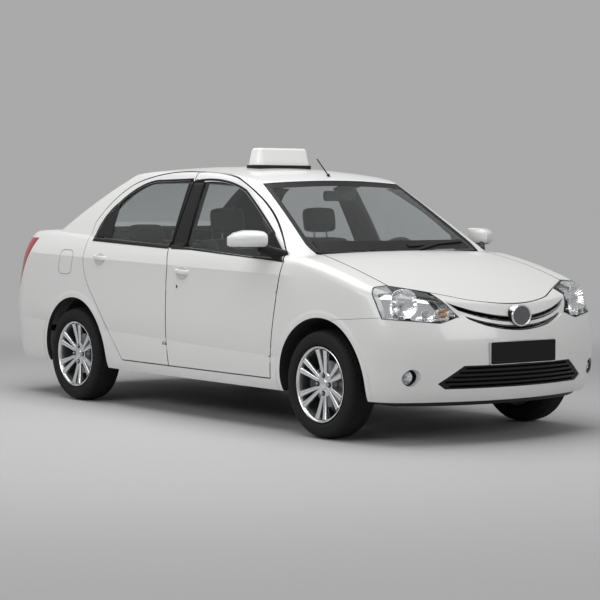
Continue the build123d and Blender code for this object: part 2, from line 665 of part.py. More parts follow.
with BuildPart() as tail_lamp:
    add(tail_lamp_space.part)
    add(outer_right, mode=Mode.INTERSECT)
    add(panel_core, mode=Mode.SUBTRACT)
finish(both_sides(tail_lamp.part), "tail_lamps", nodes)

SCREEN_FOOT_Z = 1012
for name, space in (("windscreen", windscreen_space), ("rear_window", rear_glass_space)):
    with BuildPart() as pane:
        add(space)
        add(glass_outer, mode=Mode.INTERSECT)
        add(glass_inner, mode=Mode.SUBTRACT)
        with Locations((FRONT_AXLE_X, 0, SCREEN_FOOT_Z)):
            Box(1000, 2 * SIDE_REACH, 200, align=(Align.CENTER, Align.CENTER, Align.MAX), mode=Mode.SUBTRACT)
    finish(pane, name, nodes)

# Floor pan: floor, tunnel, firewall, boot floor, parcel shelf and rails, cut to fit inside the body's walls
FLOOR_Z = 235
FLOOR_WALL = 15
FIREWALL_X = FRONT_AXLE_X - 392
SEAT_HEEL_X = REAR_AXLE_X + 420
BOOT_FLOOR_Z = 420
SHELF_Z = 1000
COWL_Z = 960
TUNNEL_SIZE = (240, 130)
with BuildPart() as floor_inside:
    with BuildSketch(Plane.XZ):
        with BuildLine() as sheet:
            Polyline((FIREWALL_X, COWL_Z), (FIREWALL_X, FLOOR_Z + FLOOR_WALL),
                     (SEAT_HEEL_X, FLOOR_Z + FLOOR_WALL),
                     (SEAT_HEEL_X - 90, BOOT_FLOOR_Z), (TAIL_X + 108, BOOT_FLOOR_Z), (TAIL_X + 108, 770),
                     (TAIL_X + 108 + FLOOR_WALL, 770), (TAIL_X + 108 + FLOOR_WALL, BOOT_FLOOR_Z + FLOOR_WALL),
                     (REAR_AXLE_X + 140, BOOT_FLOOR_Z + FLOOR_WALL), (REAR_AXLE_X - 60, SHELF_Z),
                     (REAR_AXLE_X - 430, SHELF_Z), (REAR_AXLE_X - 430, SHELF_Z + FLOOR_WALL),
                     (REAR_AXLE_X - 55, SHELF_Z + FLOOR_WALL), (REAR_AXLE_X + 152, BOOT_FLOOR_Z + FLOOR_WALL),
                     (SEAT_HEEL_X - 82, BOOT_FLOOR_Z + FLOOR_WALL),
                     (SEAT_HEEL_X + 8, FLOOR_Z + 2 * FLOOR_WALL),
                     (FIREWALL_X - FLOOR_WALL, FLOOR_Z + 2 * FLOOR_WALL), (FIREWALL_X - FLOOR_WALL, COWL_Z),
                     close=True)
        make_face()
    extrude(amount=1000, both=True)
    with Locations(((FIREWALL_X + SEAT_HEEL_X) / 2, 0, FLOOR_Z + FLOOR_WALL)):
        Box(FIREWALL_X - SEAT_HEEL_X, *TUNNEL_SIZE, align=(Align.CENTER, Align.CENTER, Align.MIN))
        Box(FIREWALL_X - SEAT_HEEL_X + 40, TUNNEL_SIZE[0] - 40, TUNNEL_SIZE[1] - 20,
            align=(Align.CENTER, Align.CENTER, Align.MIN), mode=Mode.SUBTRACT)
    add(body_core, mode=Mode.INTERSECT)
    for axle_x, near in ((REAR_AXLE_X, REAR_HOUSE_Y),):
        cut = wheel_arch(axle_x, ARCH_RADIUS + WHEEL_HOUSE_WALL, near)
        add(cut, mode=Mode.SUBTRACT)
        mirror(cut, about=Plane.XZ, mode=Mode.SUBTRACT)

# Kingpins: each steered wheel turns about a line from its ball joint to its strut's head
KINGPIN_FOOT = (672, 185)
KINGPIN_HEAD = (545, 850)
KINGPIN_LEAN = degrees(atan2(KINGPIN_FOOT[0] - KINGPIN_HEAD[0], KINGPIN_HEAD[1] - KINGPIN_FOOT[1]))
STRUT_RADIUS = 25
STRUT_CLEARANCE = 1.5
TOWER_RADIUS = 70
TOWER_TOP_Z = 830
kingpin_plane = Plane(origin=(FRONT_AXLE_X, -KINGPIN_FOOT[0], KINGPIN_FOOT[1]), x_dir=(1, 0, 0),
                      z_dir=(0, sin(radians(KINGPIN_LEAN)), cos(radians(KINGPIN_LEAN))))
KINGPIN_LENGTH = (KINGPIN_HEAD[1] - KINGPIN_FOOT[1]) / cos(radians(KINGPIN_LEAN))


TYRE_INNER_Y = (TRACK - TYRE_WIDTH) / 2
AXLE_ROOM_Z = 400


def wheel_house(axle_x, near, core):
    """A right wheel house: an arched wall closed on its inner side, cut off inside the body's wall."""
    with BuildPart() as house:
        with BuildSketch(Plane.XZ.offset(near)):
            with Locations((axle_x, WHEEL_Z)):
                Circle(ARCH_RADIUS + WHEEL_HOUSE_WALL)
            with Locations((axle_x, FLOOR_Z)):
                Rectangle(1000, 1000, align=(Align.CENTER, Align.MAX), mode=Mode.SUBTRACT)
        extrude(amount=500)
        add(wheel_arch(axle_x, ARCH_RADIUS, near + WHEEL_HOUSE_WALL), mode=Mode.SUBTRACT)
        with Locations((axle_x, -TYRE_INNER_Y, AXLE_ROOM_Z)):
            Box(900, 400, 400, align=(Align.CENTER, Align.MIN, Align.MAX), mode=Mode.SUBTRACT)
        add(core, mode=Mode.INTERSECT)
    return house.part


with BuildPart() as front_house:
    add(wheel_house(FRONT_AXLE_X, FRONT_HOUSE_Y, panel_core))
    with BuildSketch(kingpin_plane.offset(430)):
        Circle(TOWER_RADIUS)
    extrude(amount=TOWER_TOP_Z - 600)
    with BuildSketch(kingpin_plane.offset(380)):
        Circle(TOWER_RADIUS - 8)
    extrude(amount=TOWER_TOP_Z - 560, mode=Mode.SUBTRACT)
    with BuildSketch(kingpin_plane):
        Circle(STRUT_RADIUS + STRUT_CLEARANCE)
    extrude(amount=900, mode=Mode.SUBTRACT)
rear_house = wheel_house(REAR_AXLE_X, REAR_HOUSE_Y, body_core)

RAIL_Y = 395
RAIL_SIZE = (90, 80)
with BuildPart() as floor_pan:
    add(floor_inside.part)
    for house in (front_house.part, rear_house):
        add(house)
        mirror(house, about=Plane.XZ)
    for side in (-1, 1):
        with Locations((FIREWALL_X, side * RAIL_Y, 420)):
            Box(NOSE_X - 170 - FIREWALL_X, *RAIL_SIZE, align=(Align.MIN, Align.CENTER, Align.CENTER))
finish(floor_pan, "floor_pan", nodes)

# Cowl under the windscreen, with the riser the glass stands on and the arms that carry the bonnet's pins
RISER_X = NOSE_X - 997
RISER_HALF_WIDTH = 600
RISER_BOW = 56
RISER_WALL = 16
with BuildLine() as riser_path:
    end_x = RISER_X - RISER_BOW
    face = ThreePointArc((end_x, -RISER_HALF_WIDTH), (RISER_X, 0), (end_x, RISER_HALF_WIDTH))
    back = ThreePointArc((end_x - RISER_WALL, RISER_HALF_WIDTH), (RISER_X - RISER_WALL, 0),
                         (end_x - RISER_WALL, -RISER_HALF_WIDTH))
    Line(face @ 1, back @ 0)
    Line(back @ 1, face @ 0)
with BuildPart() as cowl:
    with Locations((FIREWALL_X - FLOOR_WALL, 0, COWL_Z)):
        Box(BONNET_HINGE_X + 60 - FIREWALL_X, 1400, 8, align=(Align.MIN, Align.CENTER, Align.MIN))
    add(body_core, mode=Mode.INTERSECT)
    add(prism(riser_path, Plane.XY.offset(COWL_Z), SCREEN_FOOT_Z - COWL_Z))
    for plane in bonnet_hinges:
        add(hinge_arm(plane, BONNET_HINGE_Z - COWL_Z))
finish(cowl, "cowl", nodes)

# Wheels: a tyre and a twelve-spoked rim with its brake disc, turning on a stub
RIM_INNER = 178
HUB_FACE = 40
SPINDLE_RADIUS = 20
SPINDLE_CLEARANCE = 0.3
DISC_RADIUS = 128
DISC_SPAN = (-15, 7)
SPOKE_PAIRS = 6
LUG_COUNT = 4


def wheel_plane(axle_x, side):
    """The plane of a wheel's middle, facing out of the car."""
    return Plane(origin=(axle_x, side * TRACK / 2, WHEEL_Z), x_dir=(1, 0, 0), z_dir=(0, side, 0))


with BuildPart() as tyre:
    with BuildSketch(Plane.XZ):
        half = TYRE_WIDTH / 2
        with BuildLine():
            Polyline((TYRE_RADIUS, -half + 30), (TYRE_RADIUS, half - 30), (TYRE_RADIUS - 18, half - 7),
                     (TYRE_RADIUS - 54, half), (RIM_RADIUS - 5, half - 16), (RIM_RADIUS - 5, -half + 16),
                     (TYRE_RADIUS - 54, -half), (TYRE_RADIUS - 18, -half + 7), close=True)
        make_face()
    revolve(axis=Axis.Z)

with BuildPart() as rim:
    with BuildSketch(Plane.XZ):
        half = TYRE_WIDTH / 2
        with BuildLine():
            Polyline((RIM_RADIUS - 5, -half + 16), (RIM_RADIUS - 5, half - 16), (RIM_RADIUS, half - 10),
                     (RIM_RADIUS - 12, half - 8), (RIM_INNER + 4, half - 30), (RIM_INNER, -half + 12),
                     close=True)
        make_face()
    revolve(axis=Axis.Z)
    with BuildSketch(Plane.XY.offset(HUB_FACE)):
        Circle(72)
    extrude(amount=24)
    for pair in range(SPOKE_PAIRS):
        for lean in (-11, 11):
            with BuildSketch(Plane.XY.offset(HUB_FACE + 2).rotated((0, 0, 360 / SPOKE_PAIRS * pair + lean))):
                with BuildLine():
                    Polyline((50, -16), (RIM_INNER + 8, -11), (RIM_INNER + 8, 11), (50, 16), close=True)
                make_face()
            extrude(amount=22)
    with BuildSketch(Plane.XY.offset(DISC_SPAN[0])):
        Circle(DISC_RADIUS)
    extrude(amount=DISC_SPAN[1] - DISC_SPAN[0])
    with BuildSketch(Plane.XY.offset(DISC_SPAN[1])):
        Circle(66)
    extrude(amount=HUB_FACE - DISC_SPAN[1])
    with BuildSketch(Plane.XY.offset(DISC_SPAN[0])):
        Circle(SPINDLE_RADIUS + SPINDLE_CLEARANCE)
    extrude(amount=HUB_FACE - DISC_SPAN[0], mode=Mode.SUBTRACT)
    with BuildSketch(Plane.XY.offset(HUB_FACE + 24)):
        with PolarLocations(50, LUG_COUNT):
            Circle(12)
    extrude(amount=-14, mode=Mode.SUBTRACT)

WHEELS = {"front_right": (FRONT_AXLE_X, -1), "front_left": (FRONT_AXLE_X, 1),
          "rear_right": (REAR_AXLE_X, -1), "rear_left": (REAR_AXLE_X, 1)}
for place, (axle_x, side) in WHEELS.items():
    for piece, solid in (("tyre", tyre.part), ("rim", rim.part)):
        with BuildPart() as placed:
            add(solid.moved(wheel_plane(axle_x, side).location))
        finish(placed, f"{piece}_{place}", nodes)

# Front knuckles: upright, stub, strut, ball stud, steering arm and brake caliper
STUB_END = TRACK / 2 + HUB_FACE - 4
BALL_RADIUS = 9
BALL_CLEARANCE = 0.3
KNUCKLE_HALF_X = 30
with BuildPart() as knuckle:
    with BuildSketch(Plane.YZ.offset(FRONT_AXLE_X - KNUCKLE_HALF_X)):
        with BuildLine():
            Polyline((-700, WHEEL_Z - 70), (-700, WHEEL_Z + 70), (-640, WHEEL_Z + 170), (-590, WHEEL_Z + 170),
                     (-620, WHEEL_Z), (-640, WHEEL_Z - 80), (-690, WHEEL_Z - 90), close=True)
        make_face()
    extrude(amount=2 * KNUCKLE_HALF_X)
    with BuildSketch(kingpin_plane.offset(-18)):
        Circle(BALL_RADIUS)
    extrude(amount=60)
    with BuildSketch(kingpin_plane.offset(230)):
        Circle(STRUT_RADIUS)
    extrude(amount=KINGPIN_LENGTH - 230)
    with BuildSketch(Plane.XZ.offset(680)):
        with Locations((FRONT_AXLE_X, WHEEL_Z)):
            Circle(SPINDLE_RADIUS)
    extrude(amount=STUB_END - 680)
    with Locations((FRONT_AXLE_X - 20, -660, WHEEL_Z - 40)):
        Box(130, 30, 24, align=(Align.MAX, Align.CENTER, Align.CENTER))
    with Locations((FRONT_AXLE_X - 76, -735, WHEEL_Z)):
        Box(74, 70, 130, align=(Align.MAX, Align.CENTER, Align.CENTER))
    with Locations((FRONT_AXLE_X - 20, -700, WHEEL_Z + 20)):
        Box(80, 24, 60, align=(Align.MAX, Align.CENTER, Align.CENTER))
    with BuildSketch(Plane.XZ.offset(TRACK / 2 + DISC_SPAN[0] - 6)):
        with Locations((FRONT_AXLE_X, WHEEL_Z)):
            Circle(DISC_RADIUS + 6)
            Circle(SPINDLE_RADIUS + 30, mode=Mode.SUBTRACT)
    extrude(amount=DISC_SPAN[1] - DISC_SPAN[0] + 12, mode=Mode.SUBTRACT)
for name, about in (("knuckle_right", None), ("knuckle_left", Plane.XZ)):
    with BuildPart() as side_knuckle:
        if about:
            mirror(knuckle.part, about=about)
        else:
            add(knuckle.part)
    finish(side_knuckle, name, nodes)

# Subframe with its control arms, carrying the engine and the ball joints
SUBFRAME_TOP = 300
ARM_THICKNESS = 22
with BuildPart() as subframe:
    with Locations((FRONT_AXLE_X + 20, 0, SUBFRAME_TOP)):
        Box(260, 640, 80, align=(Align.CENTER, Align.CENTER, Align.MAX))
    with Locations(*((FRONT_AXLE_X + 20 + dx, side * RAIL_Y, 380) for dx in (-90, 90) for side in (-1, 1))):
        Box(50, 60, 140, align=(Align.CENTER, Align.CENTER, Align.MAX))
    with Locations(*((FRONT_AXLE_X + 20, side * 370, 250) for side in (-1, 1))):
        Box(240, 110, 30)
    for side in (-1, 1):
        with BuildSketch(Plane.XY.offset(KINGPIN_FOOT[1] - ARM_THICKNESS / 2)):
            with BuildLine():
                Polyline(from_front(-25, side * 690), from_front(25, side * 690), from_front(110, side * 330),
                         from_front(-90, side * 330), close=True)
            make_face()
        extrude(amount=ARM_THICKNESS)
    with Locations(*((FRONT_AXLE_X + 10, side * 340, 190) for side in (-1, 1))):
        Box(190, 50, 60)
    left_kingpin_plane = Plane(origin=(FRONT_AXLE_X, KINGPIN_FOOT[0], KINGPIN_FOOT[1]), x_dir=(1, 0, 0),
                               z_dir=(0, -sin(radians(KINGPIN_LEAN)), cos(radians(KINGPIN_LEAN))))
    for plane in (kingpin_plane, left_kingpin_plane):
        with BuildSketch(plane):
            Circle(BALL_RADIUS + BALL_CLEARANCE)
        extrude(amount=40, both=True, mode=Mode.SUBTRACT)
finish(subframe, "front_subframe", nodes)

with BuildPart() as engine:
    with Locations((FRONT_AXLE_X + 60, 0, SUBFRAME_TOP)):
        Box(420, 560, 440, align=(Align.CENTER, Align.CENTER, Align.MIN))
    chamfer(engine.faces().sort_by(Axis.Z)[-1].edges(), 40)
finish(engine, "engine_block", nodes)

with BuildPart() as radiator:
    with Locations((NOSE_X - 215, 0, 280)):
        Box(45, 700, 400, align=(Align.CENTER, Align.CENTER, Align.MIN))
    for side in (-1, 1):
        with Locations((NOSE_X - 215, side * RAIL_Y, 420)):
            Box(60, RAIL_SIZE[0] + 1, RAIL_SIZE[1] + 1, mode=Mode.SUBTRACT)
finish(radiator, "radiator", nodes)

# Rear axle: a beam between two trailing arms, with stubs, dampers and brackets
REAR_ARM_Y = 600
with BuildPart() as rear_axle:
    with Locations((REAR_AXLE_X + 130, 0, WHEEL_Z)):
        Box(70, 2 * REAR_ARM_Y, 50)
    for side in (-1, 1):
        with Locations((REAR_AXLE_X - 40, side * REAR_ARM_Y, WHEEL_Z)):
            Box(380, 40, 60, align=(Align.MIN, Align.CENTER, Align.CENTER))
        with Locations((REAR_AXLE_X + 300, side * 560, WHEEL_Z)):
            Box(50, 120, 60)
        with Locations((REAR_AXLE_X + 300, side * 527, WHEEL_Z - 30)):
            Box(50, 54, BOOT_FLOOR_Z - WHEEL_Z + 30, align=(Align.CENTER, Align.CENTER, Align.MIN))
        with BuildSketch(Plane.XZ):
            with Locations((REAR_AXLE_X, WHEEL_Z)):
                Circle(SPINDLE_RADIUS)
        extrude(amount=-side * STUB_END)
        with BuildSketch(Plane.XY.offset(WHEEL_Z)):
            with Locations((REAR_AXLE_X + 130, side * 480)):
                Circle(48)
        extrude(amount=BOOT_FLOOR_Z - WHEEL_Z)
    with BuildSketch(Plane.XZ.offset(-500)):
        with Locations((REAR_AXLE_X, WHEEL_Z)):
            Circle(SPINDLE_RADIUS + 1)
    extrude(amount=1000, mode=Mode.SUBTRACT)
finish(rear_axle, "rear_axle", nodes)

# Exhaust and fuel tank under the floor
with BuildPart() as fuel_tank:
    with BuildSketch(Plane.XZ):
        with BuildLine():
            Polyline(from_rear(180, 260), from_rear(180, BOOT_FLOOR_Z), from_rear(325, BOOT_FLOOR_Z),
                     from_rear(405, 260), close=True)
        make_face()
    extrude(amount=400, both=True)
finish(fuel_tank, "fuel_tank", nodes)

with BuildPart() as exhaust:
    with Locations((TAIL_X + 480, -230, BOOT_FLOOR_Z)):
        Box(330, 360, 140, align=(Align.CENTER, Align.CENTER, Align.MAX))
    fillet(exhaust.edges().filter_by(Axis.X), 50)
    with BuildSketch(Plane.YZ.offset(TAIL_X + 640)):
        with Locations((-230, BOOT_FLOOR_Z - 70)):
            Circle(25)
    extrude(amount=130)
    with BuildSketch(Plane.YZ.offset(TAIL_X + 90)):
        with Locations((TAIL_PIPE_Y, TAIL_PIPE_Z)):
            Circle(TAIL_PIPE_RADIUS)
    extrude(amount=300)
finish(exhaust, "exhaust", nodes)

# Cabin: dashboard, steering wheel, seats and mirror
with BuildPart() as dashboard:
    with BuildSketch(Plane.XZ):
        with BuildLine():
            back = FIREWALL_X - FLOOR_WALL
            front = Line((back, 590), (back, 955))
            top = ThreePointArc(front @ 1, (back - 110, 985), (back - 260, 960))
            brow = ThreePointArc(top @ 1, (back - 318, 915), (back - 318, 860))
            Polyline(brow @ 1, (back - 250, 640), (back - 200, 590), front @ 0)
        make_face()
    extrude(amount=900, both=True)
    add(body_core, mode=Mode.INTERSECT)
finish(dashboard, "dashboard", nodes)

STEER_Y = 360
STEER_X = FIREWALL_X - 385
STEER_Z = 905
STEER_RAKE = radians(24)
STEER_RADIUS = 178
steer_plane = Plane(origin=(STEER_X, STEER_Y, STEER_Z), x_dir=(0, 1, 0),
                    z_dir=(-cos(STEER_RAKE), 0, sin(STEER_RAKE)))
with BuildPart() as steering_wheel:
    with BuildSketch(Plane(steer_plane.origin, x_dir=steer_plane.y_dir, z_dir=steer_plane.x_dir)):
        with Locations((STEER_RADIUS, 0)):
            RegularPolygon(15, 6)
    revolve(axis=Axis(steer_plane.origin, steer_plane.z_dir))
    with BuildSketch(steer_plane.offset(-22)):
        Circle(62)
        for turn in (0, 180, 270):
            with Locations(Location((0, 0), turn)):
                Rectangle(STEER_RADIUS, 36, align=(Align.MIN, Align.CENTER))
    extrude(amount=24)
    with BuildSketch(steer_plane.offset(-22)):
        Circle(28)
    extrude(amount=-140)
    add(nodes["dashboard"], mode=Mode.SUBTRACT)
finish(steering_wheel, "steering_wheel", nodes)

SEAT_Y = 360
HEADREST_X = FRONT_AXLE_X - 1530
with BuildPart() as front_seat:
    with BuildSketch(Plane.XZ.offset(SEAT_Y - 240)):
        with BuildLine():
            Polyline(from_front(-895, 265), from_front(-875, 470), from_front(-935, 500),
                     from_front(-1295, 470), from_front(-1395, 700), from_front(-1485, 1060),
                     from_front(-1565, 1045), from_front(-1525, 700), from_front(-1445, 420),
                     from_front(-1415, 265), close=True)
        make_face()
    extrude(amount=480)
    fillet(front_seat.edges().filter_by(Axis.Y), 24)
    with Locations((HEADREST_X, -SEAT_Y, 1000)):
        Box(20, 120, 120, align=(Align.CENTER, Align.CENTER, Align.MIN))
    with Locations((HEADREST_X, -SEAT_Y, 1110)):
        Box(80, 250, 150, align=(Align.CENTER, Align.CENTER, Align.MIN))
finish(both_sides(front_seat.part), "front_seats", nodes)

with BuildPart() as rear_seat:
    with BuildSketch(Plane.XZ.offset(-545)):
        with BuildLine():
            Polyline(from_rear(700, 265), from_rear(715, 490), from_rear(660, 530), from_rear(310, 500),
                     from_rear(110, 1000), from_rear(-20, 1010), from_rear(157, 439), from_rear(342, 439),
                     from_rear(434, 265), close=True)
        make_face()
    extrude(amount=1090)
    fillet(rear_seat.edges().filter_by(Axis.Y).sort_by(Axis.Z)[3:], 20)
    with Locations((SEAT_HEEL_X - 10, 0, FLOOR_Z)):
        Box(400, TUNNEL_SIZE[0], TUNNEL_SIZE[1] + FLOOR_WALL, align=(Align.MIN, Align.CENTER, Align.MIN),
            mode=Mode.SUBTRACT)
    with Locations(*((REAR_AXLE_X + 30, side * 330, 1000) for side in (-1, 1))):
        Box(80, 230, 140, align=(Align.CENTER, Align.CENTER, Align.MIN))
finish(rear_seat, "rear_seat", nodes)

with BuildPart() as cabin_mirror:
    with Locations((FRONT_AXLE_X - 850, 0, 1330)):
        Box(32, 230, 62)
    fillet(cabin_mirror.edges().filter_by(Axis.X), 20)
    with Locations((FRONT_AXLE_X - 840, 0, 1345)):
        Box(200, 22, 18, align=(Align.MIN, Align.CENTER, Align.CENTER))
    add(glass_inner, mode=Mode.INTERSECT)
finish(cabin_mirror, "cabin_mirror", nodes)

# Roof sign on its base, aerial and wiper
SIGN_X = FRONT_AXLE_X - 1455
SIGN_FOOT_Z = 1520
SIGN_SIZE = (135, 415)
SIGN_HEIGHT = 106
SIGN_TAPER = 12
SIGN_CORNER = 40
with BuildPart() as roof_sign:
    with BuildSketch(Plane(origin=(SIGN_X, 0, SIGN_FOOT_Z))):
        RectangleRounded(*SIGN_SIZE, SIGN_CORNER)
    extrude(amount=SIGN_HEIGHT, taper=SIGN_TAPER)
    chamfer(roof_sign.faces().sort_by(Axis.Z)[-1].edges(), 10)
finish(roof_sign, "roof_sign", nodes)

with BuildPart() as sign_base:
    with BuildSketch(Plane(origin=(SIGN_X, 0, SIGN_FOOT_Z))):
        RectangleRounded(SIGN_SIZE[0] + 24, SIGN_SIZE[1] + 24, SIGN_CORNER + 12)
    extrude(amount=-60)
    add(outer, mode=Mode.SUBTRACT)
finish(sign_base, "roof_sign_base", nodes)

AERIAL_X = FRONT_AXLE_X - 960
AERIAL_RAKE = radians(48)
with BuildPart() as aerial:
    with BuildSketch(Plane(origin=(AERIAL_X, 0, 1440))):
        Circle(14)
    extrude(amount=26, taper=15)
    with BuildSketch(Plane(origin=(AERIAL_X, 0, 1455), x_dir=(0, 1, 0),
                           z_dir=(-sin(AERIAL_RAKE), 0, cos(AERIAL_RAKE)))):
        Circle(4)
    extrude(amount=150)
    add(outer, mode=Mode.SUBTRACT)
finish(aerial, "roof_aerial", nodes)

with BuildLine() as wiper_path:
    Polyline((60, 1040), (560, 1062), (560, 1074), (60, 1052), close=True)
with BuildLine() as wiper_arm_path:
    Polyline((40, 1014), (70, 1014), (310, 1050), (310, 1064), (290, 1064), close=True)
with BuildPart() as wiper:
    for path in (wiper_path, wiper_arm_path):
        add(prism(path, FRONT_VIEW.offset(FRONT_AXLE_X - 600), 700))
    add(stacked(UPPER_OUTLINES, -9), mode=Mode.INTERSECT)
    add(stacked(UPPER_OUTLINES, GLASS_SET - 0.3), mode=Mode.SUBTRACT)
finish(wiper, "wiper", nodes)

# Door mirrors on their feet
MIRROR_FOOT_Z = 1030
MIRROR_HEIGHT = 108
with BuildPart() as mirror_right:
    with BuildSketch(Plane.XY.offset(MIRROR_FOOT_Z)):
        with BuildLine():
            cap = ThreePointArc(from_front(-446, -822), from_front(-492, -938), from_front(-624, -998))
            Polyline(cap @ 1, from_front(-650, -985), from_front(-590, -812), cap @ 0)
        make_face()
    extrude(amount=MIRROR_HEIGHT)
    chamfer(mirror_right.faces().filter_by(Axis.Z).edges(), 18)
    with BuildSketch(Plane.XZ.offset(740)):
        with BuildLine():
            Polyline(from_front(-480, 985), from_front(-400, 985), from_front(-440, 1060),
                     from_front(-500, 1075), close=True)
        make_face()
    extrude(amount=90)
    add(outer, mode=Mode.SUBTRACT)
for name, about in (("mirror_right", None), ("mirror_left", Plane.XZ)):
    with BuildPart() as side_mirror:
        if about:
            mirror(mirror_right.part, about=about)
        else:
            add(mirror_right.part)
    finish(side_mirror, name, nodes)

os.makedirs("parts", exist_ok=True)
for name, part in nodes.items():
    export_step(part, f"parts/{name}.step")
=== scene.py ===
# %% [markdown]
# A white taxi saloon, dressed for its portrait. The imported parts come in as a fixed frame: every panel,
# pane and wheel is already where it belongs, in metres, with x forward, y to the car's left and z up.
# What follows adds the finish of each surface and the small pieces that catch the eye.

# %% Load the frame
import json

import bmesh
import bpy
import numpy as np
from mathutils import Matrix, Vector
from mathutils.bvhtree import BVHTree


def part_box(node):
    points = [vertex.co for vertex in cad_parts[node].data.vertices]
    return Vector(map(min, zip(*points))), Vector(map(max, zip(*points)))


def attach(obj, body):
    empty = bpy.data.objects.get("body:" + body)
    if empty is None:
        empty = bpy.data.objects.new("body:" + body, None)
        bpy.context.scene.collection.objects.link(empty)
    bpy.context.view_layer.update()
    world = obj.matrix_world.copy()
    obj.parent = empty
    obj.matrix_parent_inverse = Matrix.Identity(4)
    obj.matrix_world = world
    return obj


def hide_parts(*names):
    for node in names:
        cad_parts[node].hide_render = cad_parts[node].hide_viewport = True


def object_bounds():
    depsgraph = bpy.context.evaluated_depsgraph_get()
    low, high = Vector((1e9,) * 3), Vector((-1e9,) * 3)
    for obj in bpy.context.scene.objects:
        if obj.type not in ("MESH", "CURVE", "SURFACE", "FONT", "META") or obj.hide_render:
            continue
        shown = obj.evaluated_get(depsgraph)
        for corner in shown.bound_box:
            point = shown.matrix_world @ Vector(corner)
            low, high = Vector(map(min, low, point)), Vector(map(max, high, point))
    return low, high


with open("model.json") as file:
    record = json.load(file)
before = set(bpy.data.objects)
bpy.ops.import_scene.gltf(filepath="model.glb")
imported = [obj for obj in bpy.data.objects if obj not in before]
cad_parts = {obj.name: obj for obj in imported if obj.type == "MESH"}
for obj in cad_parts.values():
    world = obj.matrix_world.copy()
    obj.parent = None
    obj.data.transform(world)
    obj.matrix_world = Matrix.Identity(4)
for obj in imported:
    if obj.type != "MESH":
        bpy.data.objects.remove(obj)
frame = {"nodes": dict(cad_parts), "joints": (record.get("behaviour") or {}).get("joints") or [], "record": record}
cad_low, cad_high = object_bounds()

print("CAD box", list(cad_low), list(cad_high))

# %% [markdown]
# Places that many pieces share: the two axles, the wheels' middle planes and the nose. They are read
# from the frame, so a piece that is worked out here lands on the part that carries it.

# %% Places read from the frame
record = frame["record"]
node_body = {node: body for body, nodes in record["behaviour"]["bodies"].items() for node in nodes}
joint_at = {joint["child"]: np.array(joint["pos_m"]) for joint in frame["joints"]}
FRONT_X = joint_at["wheel_front_right"][0]
REAR_X = joint_at["wheel_rear_right"][0]
HUB_Y = abs(joint_at["wheel_front_right"][1])
HUB_Z = joint_at["wheel_front_right"][2]
NOSE_X = cad_high[0]
SIDES = {"right": -1, "left": 1}
print("axles at", FRONT_X, REAR_X)

# %% [markdown]
# Every new piece is a surface worked out with numpy. A grid of points, rows by columns, becomes quads by
# joining each point to its neighbours. These helpers make the quads, put several arrays together, and
# turn arrays into a Blender object that rides on the right body.


# %% Grids into meshes
def grid_faces(rows, cols, wrap_rows=False, wrap_cols=False):
    """Quads that join each point of a rows by cols grid to the next, round the ends where asked."""
    row, col = np.meshgrid(np.arange(rows if wrap_rows else rows - 1),
                           np.arange(cols if wrap_cols else cols - 1), indexing="ij")
    row_next, col_next = (row + 1) % rows, (col + 1) % cols
    corners = [row * cols + col, row_next * cols + col, row_next * cols + col_next, row * cols + col_next]
    return np.stack(corners, -1).reshape(-1, 4)


def sheet_of(grid, wrap_rows=False, wrap_cols=False):
    """Points and quads of one grid."""
    rows, cols = grid.shape[:2]
    return grid.reshape(-1, 3), grid_faces(rows, cols, wrap_rows, wrap_cols)


def joined(*sheets):
    """Several sets of points and quads as one."""
    starts = np.cumsum([0] + [len(points) for points, faces in sheets])
    return (np.concatenate([points for points, faces in sheets]),
            np.concatenate([faces + start for (points, faces), start in zip(sheets, starts)]))


def points_of(mesh):
    """A mesh's points as one array."""
    points = np.empty(len(mesh.vertices) * 3, np.float32)
    mesh.vertices.foreach_get("co", points)
    return points.reshape(-1, 3)


def filled_mesh(name, points, faces):
    """A mesh filled from whole arrays of points and faces."""
    mesh = bpy.data.meshes.new(name)
    mesh.vertices.add(len(points))
    mesh.vertices.foreach_set("co", np.ascontiguousarray(points, np.float32).ravel())
    mesh.loops.add(faces.size)
    mesh.loops.foreach_set("vertex_index", np.ascontiguousarray(faces, np.int32).ravel())
    mesh.polygons.add(len(faces))
    mesh.polygons.foreach_set("loop_start", np.arange(0, faces.size, faces.shape[1], dtype=np.int32))
    mesh.update(calc_edges=True)
    return mesh


def mesh_from(name, points, faces):
    """A filled mesh with its doubles merged and its faces turned outwards."""
    mesh = filled_mesh(name, points, faces)
    work = bmesh.new()
    work.from_mesh(mesh)
    bmesh.ops.remove_doubles(work, verts=work.verts, dist=1e-6)
    bmesh.ops.recalc_face_normals(work, faces=work.faces)
    work.to_mesh(mesh)
    work.free()
    return mesh


def piece(name, sheet, material, body, replaces=(), sharp=40.0, wall=0.0):
    """An object made from points and quads, shaded smooth up to an angle, riding on a body."""
    mesh = mesh_from(name, *sheet)
    mesh.polygons.foreach_set("use_smooth", np.ones(len(mesh.polygons), bool))
    mesh.set_sharp_from_angle(angle=np.radians(sharp))
    mesh.materials.append(material)
    made = bpy.data.objects.new(name, mesh)
    bpy.context.scene.collection.objects.link(made)
    if wall:
        thick = made.modifiers.new("wall", "SOLIDIFY")
        thick.thickness = wall
        thick.offset = 0.0
    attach(made, body)
    if replaces:
        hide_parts(*replaces)
    return made


# %% [markdown]
# Two ways to make a shape recur below. A profile turned round an axis gives tyres, rims and lamp bowls.
# A profile carried along a path gives bars, handles and the frames of plates.


# %% Turned and carried profiles
def turned(profile, segments):
    """A profile of (radius, height) rows turned about the z axis: x = r cos a, y = r sin a, z = h."""
    angle = np.linspace(0, 2 * np.pi, segments, endpoint=False)[:, None]
    radius, height = profile[None, :, 0], profile[None, :, 1]
    return np.stack([radius * np.cos(angle), radius * np.sin(angle), height + 0 * angle], -1)


